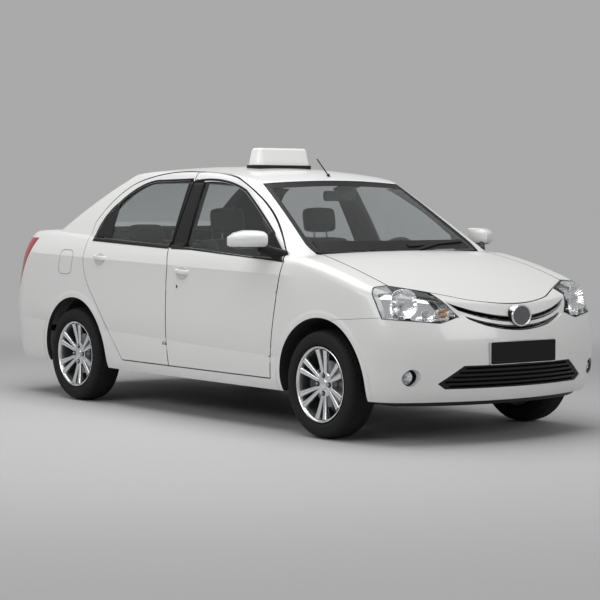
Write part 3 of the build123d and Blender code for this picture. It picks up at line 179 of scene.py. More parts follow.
def carried(profile, path, up, scale=None):
    """A closed profile carried along a path: path + across * p0 + over * p1, squared to the path's run."""
    run = np.gradient(path, axis=0)
    run /= np.linalg.norm(run, axis=1, keepdims=True)
    across = np.cross(run, np.asarray(up, float))
    across /= np.linalg.norm(across, axis=1, keepdims=True)
    over = np.cross(across, run)
    size = np.ones(len(path)) if scale is None else np.asarray(scale)
    offset = profile[None] * size[:, None, None]
    return path[:, None] + across[:, None] * offset[..., :1] + over[:, None] * offset[..., 1:]


def capped(grid):
    """A grid that is closed round its columns, with its first and last rows drawn in to points."""
    ends = [np.repeat(grid[row].mean(0, keepdims=True), grid.shape[1], 0)[None] for row in (0, -1)]
    return sheet_of(np.concatenate([ends[0], grid, ends[1]]), wrap_cols=True)


def bar(profile, path, up, scale=None):
    """A carried profile as a closed solid."""
    return capped(carried(profile, path, up, scale))


def bent(value, power):
    """A sine or cosine raised to 2 / power with its sign kept, which squares a round shape off."""
    return np.sign(value) * abs(value) ** (2 / power)


def oval(width, height, power=2.0, count=16):
    """A superellipse: |2x/width|^power + |2y/height|^power = 1."""
    angle = np.linspace(0, 2 * np.pi, count, endpoint=False)
    return np.stack([width / 2 * bent(np.cos(angle), power), height / 2 * bent(np.sin(angle), power)], -1)


def arc_through(start, middle, end, count=24):
    """Points of the circle through three points of a plane, from start to end."""
    start, middle, end = (np.asarray(point, float) for point in (start, middle, end))
    rows = 2 * np.array([middle - start, end - start])
    centre = np.linalg.solve(rows, [middle @ middle - start @ start, end @ end - start @ start])
    first, mid, last = (np.arctan2(*(point - centre)[::-1]) for point in (start, middle, end))
    turn = (last - first) % (2 * np.pi)
    if (mid - first) % (2 * np.pi) > turn:
        turn -= 2 * np.pi
    angle = first + turn * np.linspace(0, 1, count)
    return centre + np.linalg.norm(start - centre) * np.stack([np.cos(angle), np.sin(angle)], -1)


def superellipsoid(centre, axes, powers=(2.5, 2.5), rows=24, cols=48):
    """A ball with flattened sides: each of its two angles' sines and cosines is raised to 2 / power."""
    lat = np.linspace(-np.pi / 2, np.pi / 2, rows)[:, None]
    lon = np.linspace(0, 2 * np.pi, cols, endpoint=False)[None]
    ring = bent(np.cos(lat), powers[0])
    parts = [ring * bent(np.cos(lon), powers[1]), ring * bent(np.sin(lon), powers[1]),
             bent(np.sin(lat), powers[0]) + 0 * lon]
    grid = np.asarray(centre) + sum(part[..., None] * np.asarray(axis) for part, axis in zip(parts, axes))
    return sheet_of(grid, wrap_cols=True)


# %% [markdown]
# Finishes. Each one starts from the principled shader with a fine noise that varies its colour and
# roughness a little and bends its normals, because no moulded, cast or sprayed surface is quite even.


# %% A finish with grain
def finish(name, colour, roughness, metallic=0.0, coat=0.0, grain=400.0, uneven=0.03, bump=0.02, sheen=0.0,
           shine=0.5):
    """A material whose colour and roughness follow a noise on Object coordinates."""
    material = bpy.data.materials.new(name)
    material.use_nodes = True
    nodes, links = material.node_tree.nodes, material.node_tree.links
    shader = nodes["Principled BSDF"]
    shader.inputs["Metallic"].default_value = metallic
    shader.inputs["Coat Weight"].default_value = coat
    shader.inputs["Coat Roughness"].default_value = 0.03
    shader.inputs["Sheen Weight"].default_value = sheen
    shader.inputs["Specular IOR Level"].default_value = shine
    place = nodes.new("ShaderNodeTexCoord")
    noise = nodes.new("ShaderNodeTexNoise")
    noise.inputs["Scale"].default_value = grain
    noise.inputs["Detail"].default_value = 3.0
    links.new(place.outputs["Object"], noise.inputs["Vector"])
    tone = nodes.new("ShaderNodeMix")
    tone.data_type = "RGBA"
    tone.inputs[6].default_value = (*(value * (1 - uneven) for value in colour), 1)
    tone.inputs[7].default_value = (*(min(1.0, value * (1 + uneven)) for value in colour), 1)
    links.new(noise.outputs["Fac"], tone.inputs["Factor"])
    links.new(tone.outputs[2], shader.inputs["Base Color"])
    rough = nodes.new("ShaderNodeMapRange")
    rough.inputs["To Min"].default_value = max(0.0, roughness * 0.85)
    rough.inputs["To Max"].default_value = min(1.0, roughness * 1.15)
    links.new(noise.outputs["Fac"], rough.inputs["Value"])
    links.new(rough.outputs["Result"], shader.inputs["Roughness"])
    relief = nodes.new("ShaderNodeBump")
    relief.inputs["Strength"].default_value = bump
    relief.inputs["Distance"].default_value = 0.001
    links.new(noise.outputs["Fac"], relief.inputs["Height"])
    links.new(relief.outputs["Normal"], shader.inputs["Normal"])
    return material


def clear_finish(name, colour, roughness=0.0, ior=1.45, ripple=0.0):
    """Glass or clear plastic: light passes through and is tinted once on each side."""
    material = finish(name, colour, roughness, grain=30.0, uneven=0.02, bump=ripple)
    shader = material.node_tree.nodes["Principled BSDF"]
    shader.inputs["Transmission Weight"].default_value = 1.0
    shader.inputs["IOR"].default_value = ior
    return material


def body_paint(name):
    """White paint under a clear coat."""
    return finish(name, (0.80, 0.80, 0.79), 0.32, coat=0.6, grain=900, uneven=0.01, bump=0.006)


paint = body_paint("white_paint")
trim_black = finish("black_trim", (0.010, 0.010, 0.011), 0.40, grain=700, uneven=0.2, bump=0.05, shine=0.25)
# The window gaskets' black rubber. The same black on panel rims and round the fuel flap is painted shade of their
# gaps.
gasket_and_gap_shade = finish("rubber_gasket", (0.007, 0.007, 0.008), 0.55, grain=900, uneven=0.2, bump=0.08, shine=0.2)
window_glass = clear_finish("tinted_glass", (0.80, 0.83, 0.83))
lamp_glass = clear_finish("lamp_cover", (0.97, 0.98, 1.0))
chrome = finish("bright_reflector", (0.88, 0.89, 0.90), 0.08, metallic=1.0, grain=60, uneven=0.04,
                bump=0.01)
silver = finish("silver_trim", (0.72, 0.73, 0.74), 0.26, metallic=0.85, coat=0.3, grain=500, uneven=0.03)
alloy = finish("wheel_silver", (0.74, 0.75, 0.76), 0.24, metallic=0.9, coat=0.3, grain=700, uneven=0.04)
steel = finish("brake_steel", (0.36, 0.36, 0.37), 0.36, metallic=1.0, grain=300, uneven=0.1)
rubber = finish("tyre_rubber", (0.012, 0.012, 0.012), 0.78, grain=500, uneven=0.25, bump=0.12, shine=0.25)
amber = finish("amber_lens", (0.74, 0.38, 0.14), 0.12, coat=0.5, grain=300, uneven=0.1)
pale_lens = finish("pale_lens", (0.78, 0.70, 0.70), 0.12, coat=0.8, grain=120, uneven=0.06)
sign_white = finish("sign_plastic", (0.82, 0.82, 0.81), 0.28, coat=0.3, grain=200, uneven=0.02)
plate_black = finish("plate_black", (0.006, 0.006, 0.007), 0.42, grain=900, uneven=0.2, bump=0.03,
                     shine=0.2)
cabin_plastic = finish("cabin_plastic", (0.035, 0.036, 0.040), 0.62, grain=1400, uneven=0.15, bump=0.15)
headlining = finish("headlining", (0.30, 0.30, 0.29), 0.9, grain=2200, uneven=0.1, bump=0.2, sheen=0.2)
seat_cloth = finish("seat_cloth", (0.055, 0.057, 0.064), 0.92, grain=1800, uneven=0.3, bump=0.3, sheen=0.4)
underbody = finish("underbody", (0.020, 0.020, 0.021), 0.75, grain=250, uneven=0.3, bump=0.2)
cast_metal = finish("cast_metal", (0.10, 0.10, 0.105), 0.55, metallic=0.8, grain=350, uneven=0.25, bump=0.2)
print(len(bpy.data.materials), "finishes")

# %% [markdown]
# The doors are pressed with two soft creases, one below the windows and one above the sills, and the wheel
# arches with a low flare. They are only a few millimetres deep, so the side panels' paint carries them as a
# relief: a ridge that fades with the distance from a line, and a step round each wheel.

# %% Paint for the sides
SHOULDER = (0.9085, -0.0185)
LOWER_CREASE = (0.4545, -0.0285)
ARCH_RADIUS = 0.402
ARCH_FADE = 0.012
ARCH_STEP = 0.55


def creased(material, lines, wheels):
    """Adds relief to a finish: exp(-height above a line / width) for each line, a step round each wheel."""
    nodes, links = material.node_tree.nodes, material.node_tree.links
    place = nodes["Texture Coordinate"]
    parts = nodes.new("ShaderNodeSeparateXYZ")
    links.new(place.outputs["Object"], parts.inputs[0])

    def step(kind, first, second=None, third=None):
        """One arithmetic node, fed by sockets or numbers."""
        node = nodes.new("ShaderNodeMath")
        node.operation = kind
        for socket, value in zip(node.inputs, (first, second, third)):
            if isinstance(value, (int, float)):
                socket.default_value = value
            elif value is not None:
                links.new(value, socket)
        return node.outputs[0]

    def fade(value, low, high):
        """A smooth rise from nought at low to one at high."""
        node = nodes.new("ShaderNodeMapRange")
        node.interpolation_type = "SMOOTHSTEP"
        node.inputs["From Min"].default_value = low
        node.inputs["From Max"].default_value = high
        links.new(value, node.inputs["Value"])
        return node.outputs["Result"]

    x, z = parts.outputs["X"], parts.outputs["Z"]
    along = step("MULTIPLY", fade(x, -1.95, -1.70), fade(x, 1.14, 0.98))
    total = 0.0
    for (height, slope), width, rise in lines:
        above = step("SUBTRACT", z, step("MULTIPLY_ADD", x, slope, height))
        ridge = step("EXPONENT", step("MULTIPLY", step("ABSOLUTE", above), -1 / width))
        total = step("MULTIPLY_ADD", step("MULTIPLY", ridge, along), rise, total)
    for axle in wheels:
        across = step("SUBTRACT", x, float(axle))
        over = step("SUBTRACT", z, float(HUB_Z))
        squares = step("ADD", step("MULTIPLY", across, across), step("MULTIPLY", over, over))
        inside = fade(step("SQRT", squares), ARCH_RADIUS + ARCH_FADE, ARCH_RADIUS - ARCH_FADE)
        total = step("MULTIPLY_ADD", inside, ARCH_STEP, total)
    relief = nodes.new("ShaderNodeBump")
    relief.inputs["Strength"].default_value = 1.0
    relief.inputs["Distance"].default_value = 0.010
    links.new(total, relief.inputs["Height"])
    links.new(relief.outputs["Normal"], nodes["Bump"].inputs["Normal"])
    return material


CREASES = ((SHOULDER, 0.060, 1.35), (LOWER_CREASE, 0.050, -0.70))
side_paint = creased(body_paint("side_paint"), CREASES, (FRONT_X, REAR_X))
print("creases at", SHOULDER, LOWER_CREASE)

# %% [markdown]
# A tail lamp is one moulding in two colours: red, with a pale segment low down at the back. A mask on
# Object coordinates puts the pale colour there, with a narrow change between the two.

# %% Two-colour tail lens
PALE_BELOW, PALE_ABOVE, PALE_BEHIND = 0.850, 0.745, -1.985
tail_lens = finish("tail_lens", (0.42, 0.012, 0.014), 0.10, coat=0.8, grain=120, uneven=0.2, bump=0.02)
nodes, links = tail_lens.node_tree.nodes, tail_lens.node_tree.links
parts = nodes.new("ShaderNodeSeparateXYZ")
links.new(nodes["Texture Coordinate"].outputs["Object"], parts.inputs[0])
mask = None
for axis, low, high in (("Z", PALE_BELOW + 0.002, PALE_BELOW), ("Z", PALE_ABOVE, PALE_ABOVE + 0.002),
                        ("X", PALE_BEHIND + 0.002, PALE_BEHIND)):
    edge = nodes.new("ShaderNodeMapRange")
    edge.inputs["From Min"].default_value, edge.inputs["From Max"].default_value = low, high
    links.new(parts.outputs[axis], edge.inputs["Value"])
    if mask is None:
        mask = edge.outputs["Result"]
    else:
        both = nodes.new("ShaderNodeMath")
        both.operation = "MULTIPLY"
        links.new(mask, both.inputs[0])
        links.new(edge.outputs["Result"], both.inputs[1])
        mask = both.outputs[0]
lens_tone = nodes.new("ShaderNodeMix")
lens_tone.data_type = "RGBA"
links.new(mask, lens_tone.inputs["Factor"])
links.new(nodes["Mix"].outputs[2], lens_tone.inputs[6])
lens_tone.inputs[7].default_value = (0.74, 0.66, 0.66, 1)
links.new(lens_tone.outputs[2], nodes["Principled BSDF"].inputs["Base Color"])
print("tail lens pale between", PALE_ABOVE, "and", PALE_BELOW)

# %% [markdown]
# Panels. The imported solids have the right form, but each comes as loose triangles. A copy with its
# doubles merged can be shaded smooth, broken only at true edges, so sprayed metal reflects in one sweep.
# Faces that look into the cabin or at a wheel take a lining's finish. The faces that a closed door or lid hides
# along its rim are black as painted shade of its gap, so that the gap reads as one fine line. The middle pillar's
# faces take the same black as real trim, and so do the grille's slot walls and back.


# %% Copies of the imported panels
def packed_arrays(node):
    """Merged points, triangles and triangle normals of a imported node."""
    mesh = frame["nodes"][node].data
    corners = np.empty(len(mesh.loops), np.int32)
    mesh.loops.foreach_get("vertex_index", corners)
    keys, where = np.unique(np.round(points_of(mesh), 6), axis=0, return_inverse=True)
    triangles = where.ravel()[corners].reshape(-1, 3)
    whole = (triangles[:, 0] != triangles[:, 1]) & (triangles[:, 1] != triangles[:, 2])
    triangles = triangles[whole & (triangles[:, 0] != triangles[:, 2])]
    a, b, c = (keys[triangles[:, corner]] for corner in range(3))
    normals = np.cross(b - a, c - a)
    normals /= np.maximum(np.linalg.norm(normals, axis=1, keepdims=True), 1e-12)
    return keys, triangles, normals


def dressed(node, material, lining=None, inward=None, sharp=32.0, gap_shade_and_trim=None):
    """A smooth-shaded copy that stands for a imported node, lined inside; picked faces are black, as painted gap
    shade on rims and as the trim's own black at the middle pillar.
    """
    points, triangles, normals = packed_arrays(node)
    mesh = filled_mesh(f"{node}_dressed", points, triangles)
    mesh.materials.append(material)
    centres = points[triangles].mean(1)
    finish_of = np.zeros(len(triangles), np.int32)
    if lining:
        mesh.materials.append(lining)
        finish_of[inward(centres, normals)] = 1
    # Picked faces turn black: on door, roof and bonnet rims this is painted shade of the gap, at the middle pillar
    # the trim's own black.
    if gap_shade_and_trim:
        mesh.materials.append(gasket_and_gap_shade)
        finish_of[gap_shade_and_trim(centres, normals)] = len(mesh.materials) - 1
    mesh.polygons.foreach_set("material_index", finish_of)
    mesh.polygons.foreach_set("use_smooth", np.ones(len(triangles), bool))
    mesh.set_sharp_from_angle(angle=np.radians(sharp))
    made = bpy.data.objects.new(f"{node}_dressed", mesh)
    bpy.context.scene.collection.objects.link(made)
    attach(made, node_body[node])
    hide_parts(node)
    return made


def to_middle(centres, normals):
    """Faces that look towards the car's middle plane or down from the roof."""
    across = normals[:, 1] * -np.sign(centres[:, 1])
    return (across > 0.45) | ((normals[:, 2] < -0.5) & (centres[:, 2] > 1.25))


def downward(centres, normals):
    """Faces that look down."""
    return normals[:, 2] < -0.3


def edgewise(centres, normals):
    """Faces of a door's rim, which don't look to the car's side; its hinge ends stay painted."""
    hinge_end = (centres[:, 2] > 0.40) & (centres[:, 2] < 0.47) & (abs(centres[:, 1]) > 0.82)
    return (abs(normals[:, 1]) < 0.22) & ~hinge_end


def in_arch(centres, normals):
    """Faces that look at a wheel from close round it: the inside of the wheel arches."""
    x, y, z = centres.T
    found = np.zeros(len(centres), bool)
    for axle in (FRONT_X, REAR_X):
        arm = np.stack([axle - x, 0 * x, HUB_Z - z], -1)
        far = np.linalg.norm(arm, axis=1)
        found |= (far < 0.46) & (np.sum(arm * normals, 1) / np.maximum(far, 1e-9) > 0.4)
    return found


def in_arch_or_inside(centres, normals):
    """The inside of the wheel arches, and faces that look at the car's middle plane."""
    return in_arch(centres, normals) | to_middle(centres, normals)


def pillar_zone(centres, normals):
    """Faces of the middle pillar between the side windows."""
    x, y, z = centres.T
    lean = 0.18 * (z - 1.022)
    return (z > 1.016) & (z < 1.425) & (x + lean > FRONT_X - 1.545) & (x + lean < FRONT_X - 1.352)


def door_rim(centres, normals):
    """The rim of a door, and the post that stands at the middle pillar."""
    return edgewise(centres, normals) | pillar_zone(centres, normals)


def upright(centres, normals):
    """Faces of a lid's rim: they look level."""
    return abs(normals[:, 2]) < 0.25


def behind_nose(centres, normals):
    """Faces of the grille that don't look forward or up: the walls of its slots and its back."""
    return (normals[:, 0] < 0.35) & (normals[:, 2] < 0.6)


panels = {}
for side in SIDES:
    for row in ("front", "rear"):
        door = f"{row}_door_{side}"
        panels[door] = dressed(door, side_paint, cabin_plastic, to_middle, gap_shade_and_trim=door_rim)
panels["side_frames"] = dressed("side_frames", side_paint, cabin_plastic, in_arch_or_inside,
                                gap_shade_and_trim=pillar_zone)
# The black rim faces of roof and bonnet are painted shade of their gaps.
panels["roof_panel"] = dressed("roof_panel", paint, headlining, downward, gap_shade_and_trim=upright)
panels["bonnet"] = dressed("bonnet", paint, underbody, downward, gap_shade_and_trim=upright)
panels["boot_lid"] = dressed("boot_lid", paint)
panels["upper_grille"] = dressed("upper_grille", paint, gap_shade_and_trim=behind_nose)
panels["deck_panel"] = dressed("deck_panel", paint)
panels["front_wings"] = dressed("front_wings", side_paint, underbody, in_arch_or_inside)
panels["front_bumper"] = dressed("front_bumper", side_paint, underbody, in_arch)
panels["rear_bumper"] = dressed("rear_bumper", side_paint, underbody, in_arch)
for node in ("windscreen", "rear_window", "front_glass_right", "front_glass_left", "rear_glass_right",
             "rear_glass_left"):
    panels[node] = dressed(node, window_glass)
PLAIN = {"floor_pan": underbody, "cowl": trim_black, "lower_grille": trim_black, "tail_lamps": tail_lens,
         "front_plate": plate_black, "dashboard": cabin_plastic,
         "steering_wheel": cabin_plastic, "cabin_mirror": cabin_plastic, "roof_sign": sign_white,
         "roof_sign_base": trim_black, "roof_aerial": trim_black, "wiper": trim_black,
         "knuckle_right": cast_metal,
         "knuckle_left": cast_metal, "front_subframe": cast_metal, "engine_block": cast_metal,
         "radiator": cast_metal, "rear_axle": cast_metal, "fuel_tank": underbody, "exhaust": steel}
for node, material in PLAIN.items():
    panels[node] = dressed(node, material)
print(len(panels), "packed pieces dressed")

# %% [markdown]
# Tyres. The section of a tyre is a superellipse, wide and nearly square at the tread. Turned round the
# hub it gives the carcass; grooves round the tread and slanted sipes across its shoulders are subtracted
# from the radius as a formula of the two angles.

# %% Tyres with tread
TYRE_RADIUS = 0.300
TYRE_HALF_WIDTH = 0.0925
BEAD_RADIUS = 0.203
SECTION_POWER = 3.0
GROOVES = (-0.046, -0.016, 0.016, 0.046)
GROOVE_WIDTH = 0.007
GROOVE_DEPTH = 0.007
SIPES = 64
TYRE_SEGMENTS = 384
TYRE_SECTION = 64


def on_wheel(grid, axle_x, side):
    """Local wheel points, (in-plane x, in-plane z, outward), carried to a wheel of the car."""
    x, z, out = np.moveaxis(np.asarray(grid), -1, 0)
    return np.stack([axle_x + x, side * (HUB_Y + out), HUB_Z + z], -1)


def tyre_grid(segments=TYRE_SEGMENTS, section=TYRE_SECTION):
    """Superellipse section turned about the hub, less the grooves and sipes near its tread."""
    lean = np.radians(np.linspace(-158, 158, section))[None]
    spin = np.linspace(0, 2 * np.pi, segments, endpoint=False)[:, None]
    middle, half = (TYRE_RADIUS + BEAD_RADIUS) / 2, (TYRE_RADIUS - BEAD_RADIUS) / 2
    out = TYRE_HALF_WIDTH * bent(np.sin(lean), SECTION_POWER) + 0 * spin
    radius = middle + half * bent(np.cos(lean), SECTION_POWER) + 0 * spin
    tread = np.clip((radius - 0.284) / 0.008, 0, 1)
    groove = sum(np.exp(-((out - place) / (GROOVE_WIDTH / 2)) ** 4) for place in GROOVES)
    sipe = np.clip(np.cos(SIPES * spin + 90 * abs(out)) * 4 - 3, 0, 1) * (abs(out) > 0.022)
    radius = radius - tread * (GROOVE_DEPTH * np.clip(groove, 0, 1) + 0.004 * sipe)
    rib = 0.0012 * np.exp(-((radius - 0.238) / 0.004) ** 2) * np.sign(out)
    return np.stack([radius * np.cos(spin), radius * np.sin(spin), out + rib], -1)


WHEELS = {f"{row}_{side}": (x, SIDES[side]) for row, x in (("front", FRONT_X), ("rear", REAR_X))
          for side in SIDES}
for place, (axle_x, side) in WHEELS.items():
    piece(f"tyre_{place}_tread", sheet_of(on_wheel(tyre_grid(), axle_x, side), wrap_rows=True), rubber,
          f"wheel_{place}", (f"tyre_{place}",), sharp=50)
print("tyres:", TYRE_SEGMENTS * (TYRE_SECTION - 1), "quads each")

# %% [markdown]
# Alloy wheels. Twelve flat-topped spokes stand in six pairs between a small hub and a thin bright lip.
# One spoke is a superellipse carried outwards along the radius; the other eleven are the same array
# turned about the hub. The brake disc shows between them.

# %% Alloy wheels
SPOKE_PAIRS = 6
PAIR_LEAN = np.radians(9.8)
SPOKE_FROM, SPOKE_TO = 0.034, 0.196
HUB_OUT, LIP_OUT = 0.052, 0.070
LUG_CIRCLE = 0.050
LUGS = 4


def spoke_grid(count=20):
    """A rounded bar along the radius that widens and rises from hub to lip."""
    run = np.linspace(0, 1, count)
    path = np.stack([SPOKE_FROM + (SPOKE_TO - SPOKE_FROM) * run, 0 * run,
                     HUB_OUT + (LIP_OUT - HUB_OUT) * run ** 1.5 - 0.006], -1)
    width = 0.021 + 0.015 * run ** 1.6
    return carried(oval(1.0, 0.9, 3.5, 16), path, (0, 0, 1), width)


def turned_by(points, angle):
    """Points turned about the hub's axis by an angle."""
    x, z, out = np.moveaxis(points, -1, 0)
    cosine, sine = np.cos(angle), np.sin(angle)
    return np.stack([x * cosine - z * sine, x * sine + z * cosine, out], -1)


def wheel_sheets():
    """Spokes, lip and hub dome of one wheel, as points and quads."""
    turns = [np.pi / 2 + 2 * np.pi / SPOKE_PAIRS * pair + lean for pair in range(SPOKE_PAIRS)
             for lean in (-PAIR_LEAN, PAIR_LEAN)]
    spoke = spoke_grid()
    spokes = [sheet_of(turned_by(spoke, turn), wrap_cols=True) for turn in turns]
    lip = np.array([(0.203, 0.050), (0.203, 0.066), (0.2085, 0.078), (0.2095, 0.083), (0.2065, 0.0845),
                    (0.2005, 0.0815), (0.1965, 0.074), (0.194, 0.064), (0.194, 0.050)])
    hub = np.array([(0.0, 0.062), (0.027, 0.062), (0.030, 0.060), (0.031, 0.056), (0.062, 0.055),
                    (0.070, 0.050), (0.072, 0.036), (0.064, 0.008), (0.0, 0.008)])
    parts = [sheet_of(turned(lip, 120), wrap_rows=True, wrap_cols=True),
             sheet_of(turned(hub, 72), wrap_rows=True)]
    return spokes + parts


def nut_sheets():
    """Four six-sided nuts with domed ends round the hub."""
    nut = turned(np.array([(0.0, 0.068), (0.005, 0.0675), (0.0085, 0.064), (0.0095, 0.060),
                           (0.0095, 0.048)]), 6)
    return [sheet_of(nut + shift, wrap_rows=True) for shift in lug_shifts()]


def lug_shifts():
    """Where the nuts stand round the hub: a quarter turn apart."""
    turns = np.arange(LUGS) * 2 * np.pi / LUGS
    return [np.array([np.cos(turn), np.sin(turn), 0]) * LUG_CIRCLE for turn in turns]


def pocket_sheets():
    """The dark pockets that the nuts stand in: low rings with a flat floor."""
    pocket = turned(np.array([(0.0, 0.0575), (0.0145, 0.0575), (0.0155, 0.0565), (0.0155, 0.050),
                              (0.0, 0.050)]), 24)
    return [sheet_of(pocket + shift, wrap_rows=True) for shift in lug_shifts()]


def at_wheel(sheets, axle_x, side):
    """Several sheets of one wheel as one, carried to that wheel's place on the car."""
    return joined(*((on_wheel(points, axle_x, side), faces) for points, faces in sheets))


BARREL_PROFILE = np.array([(0.203, -0.076), (0.203, 0.052), (0.192, 0.052), (0.186, 0.030),
                           (0.182, -0.076)])
DISC_PROFILE = np.array([(0.021, 0.007), (0.066, 0.007), (0.128, 0.007), (0.128, -0.013), (0.066, -0.013),
                         (0.021, -0.013)])
for place, (axle_x, side) in WHEELS.items():
    spot = (axle_x, side)
    piece(f"rim_{place}_spokes", at_wheel(wheel_sheets(), *spot), alloy, f"wheel_{place}",
          (f"rim_{place}",), sharp=38)
    piece(f"nuts_{place}", at_wheel(nut_sheets(), *spot), steel, f"wheel_{place}", sharp=25)
    piece(f"nut_pockets_{place}", at_wheel(pocket_sheets(), *spot), trim_black, f"wheel_{place}",
          sharp=30)
    barrel = sheet_of(turned(BARREL_PROFILE, 120), wrap_rows=True, wrap_cols=True)
    piece(f"barrel_{place}", at_wheel([barrel], *spot), cast_metal, f"wheel_{place}", sharp=30)
    disc = sheet_of(turned(DISC_PROFILE, 96), wrap_rows=True, wrap_cols=True)
    piece(f"brake_disc_{place}", at_wheel([disc], *spot), steel, f"wheel_{place}", sharp=30)
print("wheels:", 2 * SPOKE_PAIRS, "spokes and", LUGS, "nuts each")

# %% [markdown]
# Trim that lies on the skin: window gaskets, the dark band at the middle pillar, the corner panels of
# the side windows. Each is laid out flat in side view as a grid, then projected sideways on to the panel
# below it by a Shrinkwrap modifier, which is applied so that the piece's place is in its mesh.

# %% Laying a flat grid on the skin
STAND_OFF = 1.3
STAND_CLEAR = 0.1


def drop_missed(mesh, axis):
    """Deletes the points that met no panel and so stayed out at the standing-off distance."""
    far = (2 * STAND_OFF, STAND_OFF)[axis] - STAND_CLEAR
    missed = np.flatnonzero(abs(points_of(mesh)[:, axis]) > far)
    work = bmesh.new()
    work.from_mesh(mesh)
    work.verts.ensure_lookup_table()
    bmesh.ops.delete(work, geom=[work.verts[number] for number in missed], context="VERTS")
    work.to_mesh(mesh)
    work.free()


def laid(name, flat, target, side, material, body, lift=0.0012, wall=0.003, from_ahead=False):
    """A side-view grid of (x, z), or a front-view one of (y, z), pushed on to a panel and given a wall."""
    far = np.full(flat.shape[:2], 2 * STAND_OFF if from_ahead else side * STAND_OFF)
    columns = [far, flat[..., 0], flat[..., 1]] if from_ahead else [flat[..., 0], far, flat[..., 1]]
    made = piece(name, sheet_of(np.stack(columns, -1)), material, body, sharp=60)
    wrap = made.modifiers.new("lay", "SHRINKWRAP")
    wrap.target = panels[target] if target in panels else bpy.data.objects[target]
    wrap.wrap_method = "PROJECT"
    wrap.use_project_x = from_ahead
    wrap.use_project_y = not from_ahead
    wrap.use_negative_direction = from_ahead or side > 0
    wrap.use_positive_direction = not from_ahead and side < 0
    wrap.wrap_mode = "ABOVE_SURFACE"
    wrap.offset = lift
    if wall:
        thick = made.modifiers.new("wall", "SOLIDIFY")
        thick.thickness = wall
        thick.offset = 0.0
    shaped = bpy.data.meshes.new_from_object(made.evaluated_get(bpy.context.evaluated_depsgraph_get()))
    made.modifiers.clear()
    made.data = shaped
    drop_missed(shaped, 0 if from_ahead else 1)
    return made


def band(path, inner, outer):
    """A strip in side view between two offsets to the left of a path."""
    run = np.gradient(path, axis=0)
    run /= np.linalg.norm(run, axis=1, keepdims=True)
    left = np.stack([-run[:, 1], run[:, 0]], -1)
    return np.stack([path + left * offset for offset in (inner, (inner + outer) / 2, outer)], 1)


def between(first, second, steps=10):
    """A ruled grid between two side-view lines of equal count."""
    blend = np.linspace(0, 1, steps)[None, :, None]
    return first[:, None] * (1 - blend) + second[:, None] * blend


def line(start, end, count=24):
    """Points along a straight line."""
    return np.linspace(start, end, count)


def from_front(dx, z):
    """A side-view point ahead of the front axle."""
    return np.array([FRONT_X + dx, z])


def from_rear(dx, z):
    """A side-view point ahead of the rear axle."""
    return np.array([REAR_X + dx, z])


FRONT_WINDOW = {
    "sill": line(from_front(-1.360, 1.022), from_front(-0.478, 0.973), 40),
    "pillar": line(from_front(-0.478, 0.973), from_front(-0.580, 1.111), 10),
    "head": arc_through(from_front(-0.580, 1.111), from_front(-0.775, 1.229), from_front(-1.000, 1.353),
                        20),
    "rail": arc_through(from_front(-1.000, 1.353), from_front(-1.200, 1.404), from_front(-1.520, 1.410),
                        24),
    "post": line(from_front(-1.430, 1.412), from_front(-1.360, 1.022), 16),
}
REAR_WINDOW = {
    "sill": line(from_rear(0.139, 1.056), from_front(-1.530, 1.028), 40),
    "post": line(from_front(-1.530, 1.028), from_front(-1.590, 1.420), 16),
    "rail": line(from_front(-1.556, 1.420), from_rear(0.660, 1.412), 10),
    "head": arc_through(from_rear(0.660, 1.412), from_rear(0.440, 1.376), from_rear(0.260, 1.270), 20),
    "rear": arc_through(from_rear(0.260, 1.270), from_rear(0.165, 1.170), from_rear(0.139, 1.056), 20),
}
GASKET = (-0.002, -0.014)
BELT_X = np.array([-1.036, -0.600, -0.154, 0.106, 0.460, 0.610, 0.803, 1.018])
BELT_LOW = np.array([1.034, 1.021, 1.007, 1.005, 0.988, 0.981, 0.972, 0.9625])
BELT_SPANS = {"front": (FRONT_X - 1.502, FRONT_X - 0.361), "rear": (REAR_X + 0.142, FRONT_X - 1.513)}


def belt(row, edges):
    """A ruled strip below a window, from its sill's line drawn on, down to the measured lower edge."""
    x = np.linspace(*BELT_SPANS[row], 50)
    (start_x, start_z), (end_x, end_z) = edges["sill"][0], edges["sill"][-1]
    top = start_z + (x - start_x) * (end_z - start_z) / (end_x - start_x) - 0.002
    low = np.interp(x, BELT_X, BELT_LOW)
    return between(np.stack([x, np.minimum(low, top - 0.004)], -1), np.stack([x, top], -1), 5)


for side_name, side in SIDES.items():
    for row, edges in (("front", FRONT_WINDOW), ("rear", REAR_WINDOW)):
        door = f"{row}_door_{side_name}"
        for edge, path in edges.items():
            strip = belt(row, edges) if edge == "sill" else band(path, *GASKET)
            laid(f"gasket_{row}_{edge}_{side_name}", strip, door, side, gasket_and_gap_shade, door)
print("window gaskets laid")

# %% [markdown]
# The middle pillar is blacked out so that the side windows read as one, and the rear window ends in a
# dark corner panel. A small dark triangle carries the mirror at the front window's corner.

# %% Dark pillar bands and corner panels
PILLAR_FRONT = (line(from_front(-1.501, 1.018), from_front(-1.533, 1.406)),
                line(from_front(-1.358, 1.018), from_front(-1.428, 1.406)))
PILLAR_REAR = (line(from_front(-1.532, 1.022), from_front(-1.590, 1.412)),
               line(from_front(-1.514, 1.022), from_front(-1.547, 1.412)))
CORNER_REAR = (arc_through(from_rear(0.260, 1.268), from_rear(0.167, 1.170), from_rear(0.141, 1.057)),
               line(from_rear(0.272, 1.270), from_rear(0.327, 1.049)))
CORNER_FRONT = (line(from_front(-0.363, 0.966), from_front(-0.592, 1.130)),
                line(from_front(-0.640, 0.980), from_front(-0.640, 1.100)))


def merged_target(name, *nodes):
    """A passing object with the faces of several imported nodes, to lay trim across their joint."""
    arrays = [packed_arrays(node)[:2] for node in nodes]
    target = bpy.data.objects.new(name, mesh_from(name, *joined(*arrays)))
    bpy.context.scene.collection.objects.link(target)
    return target


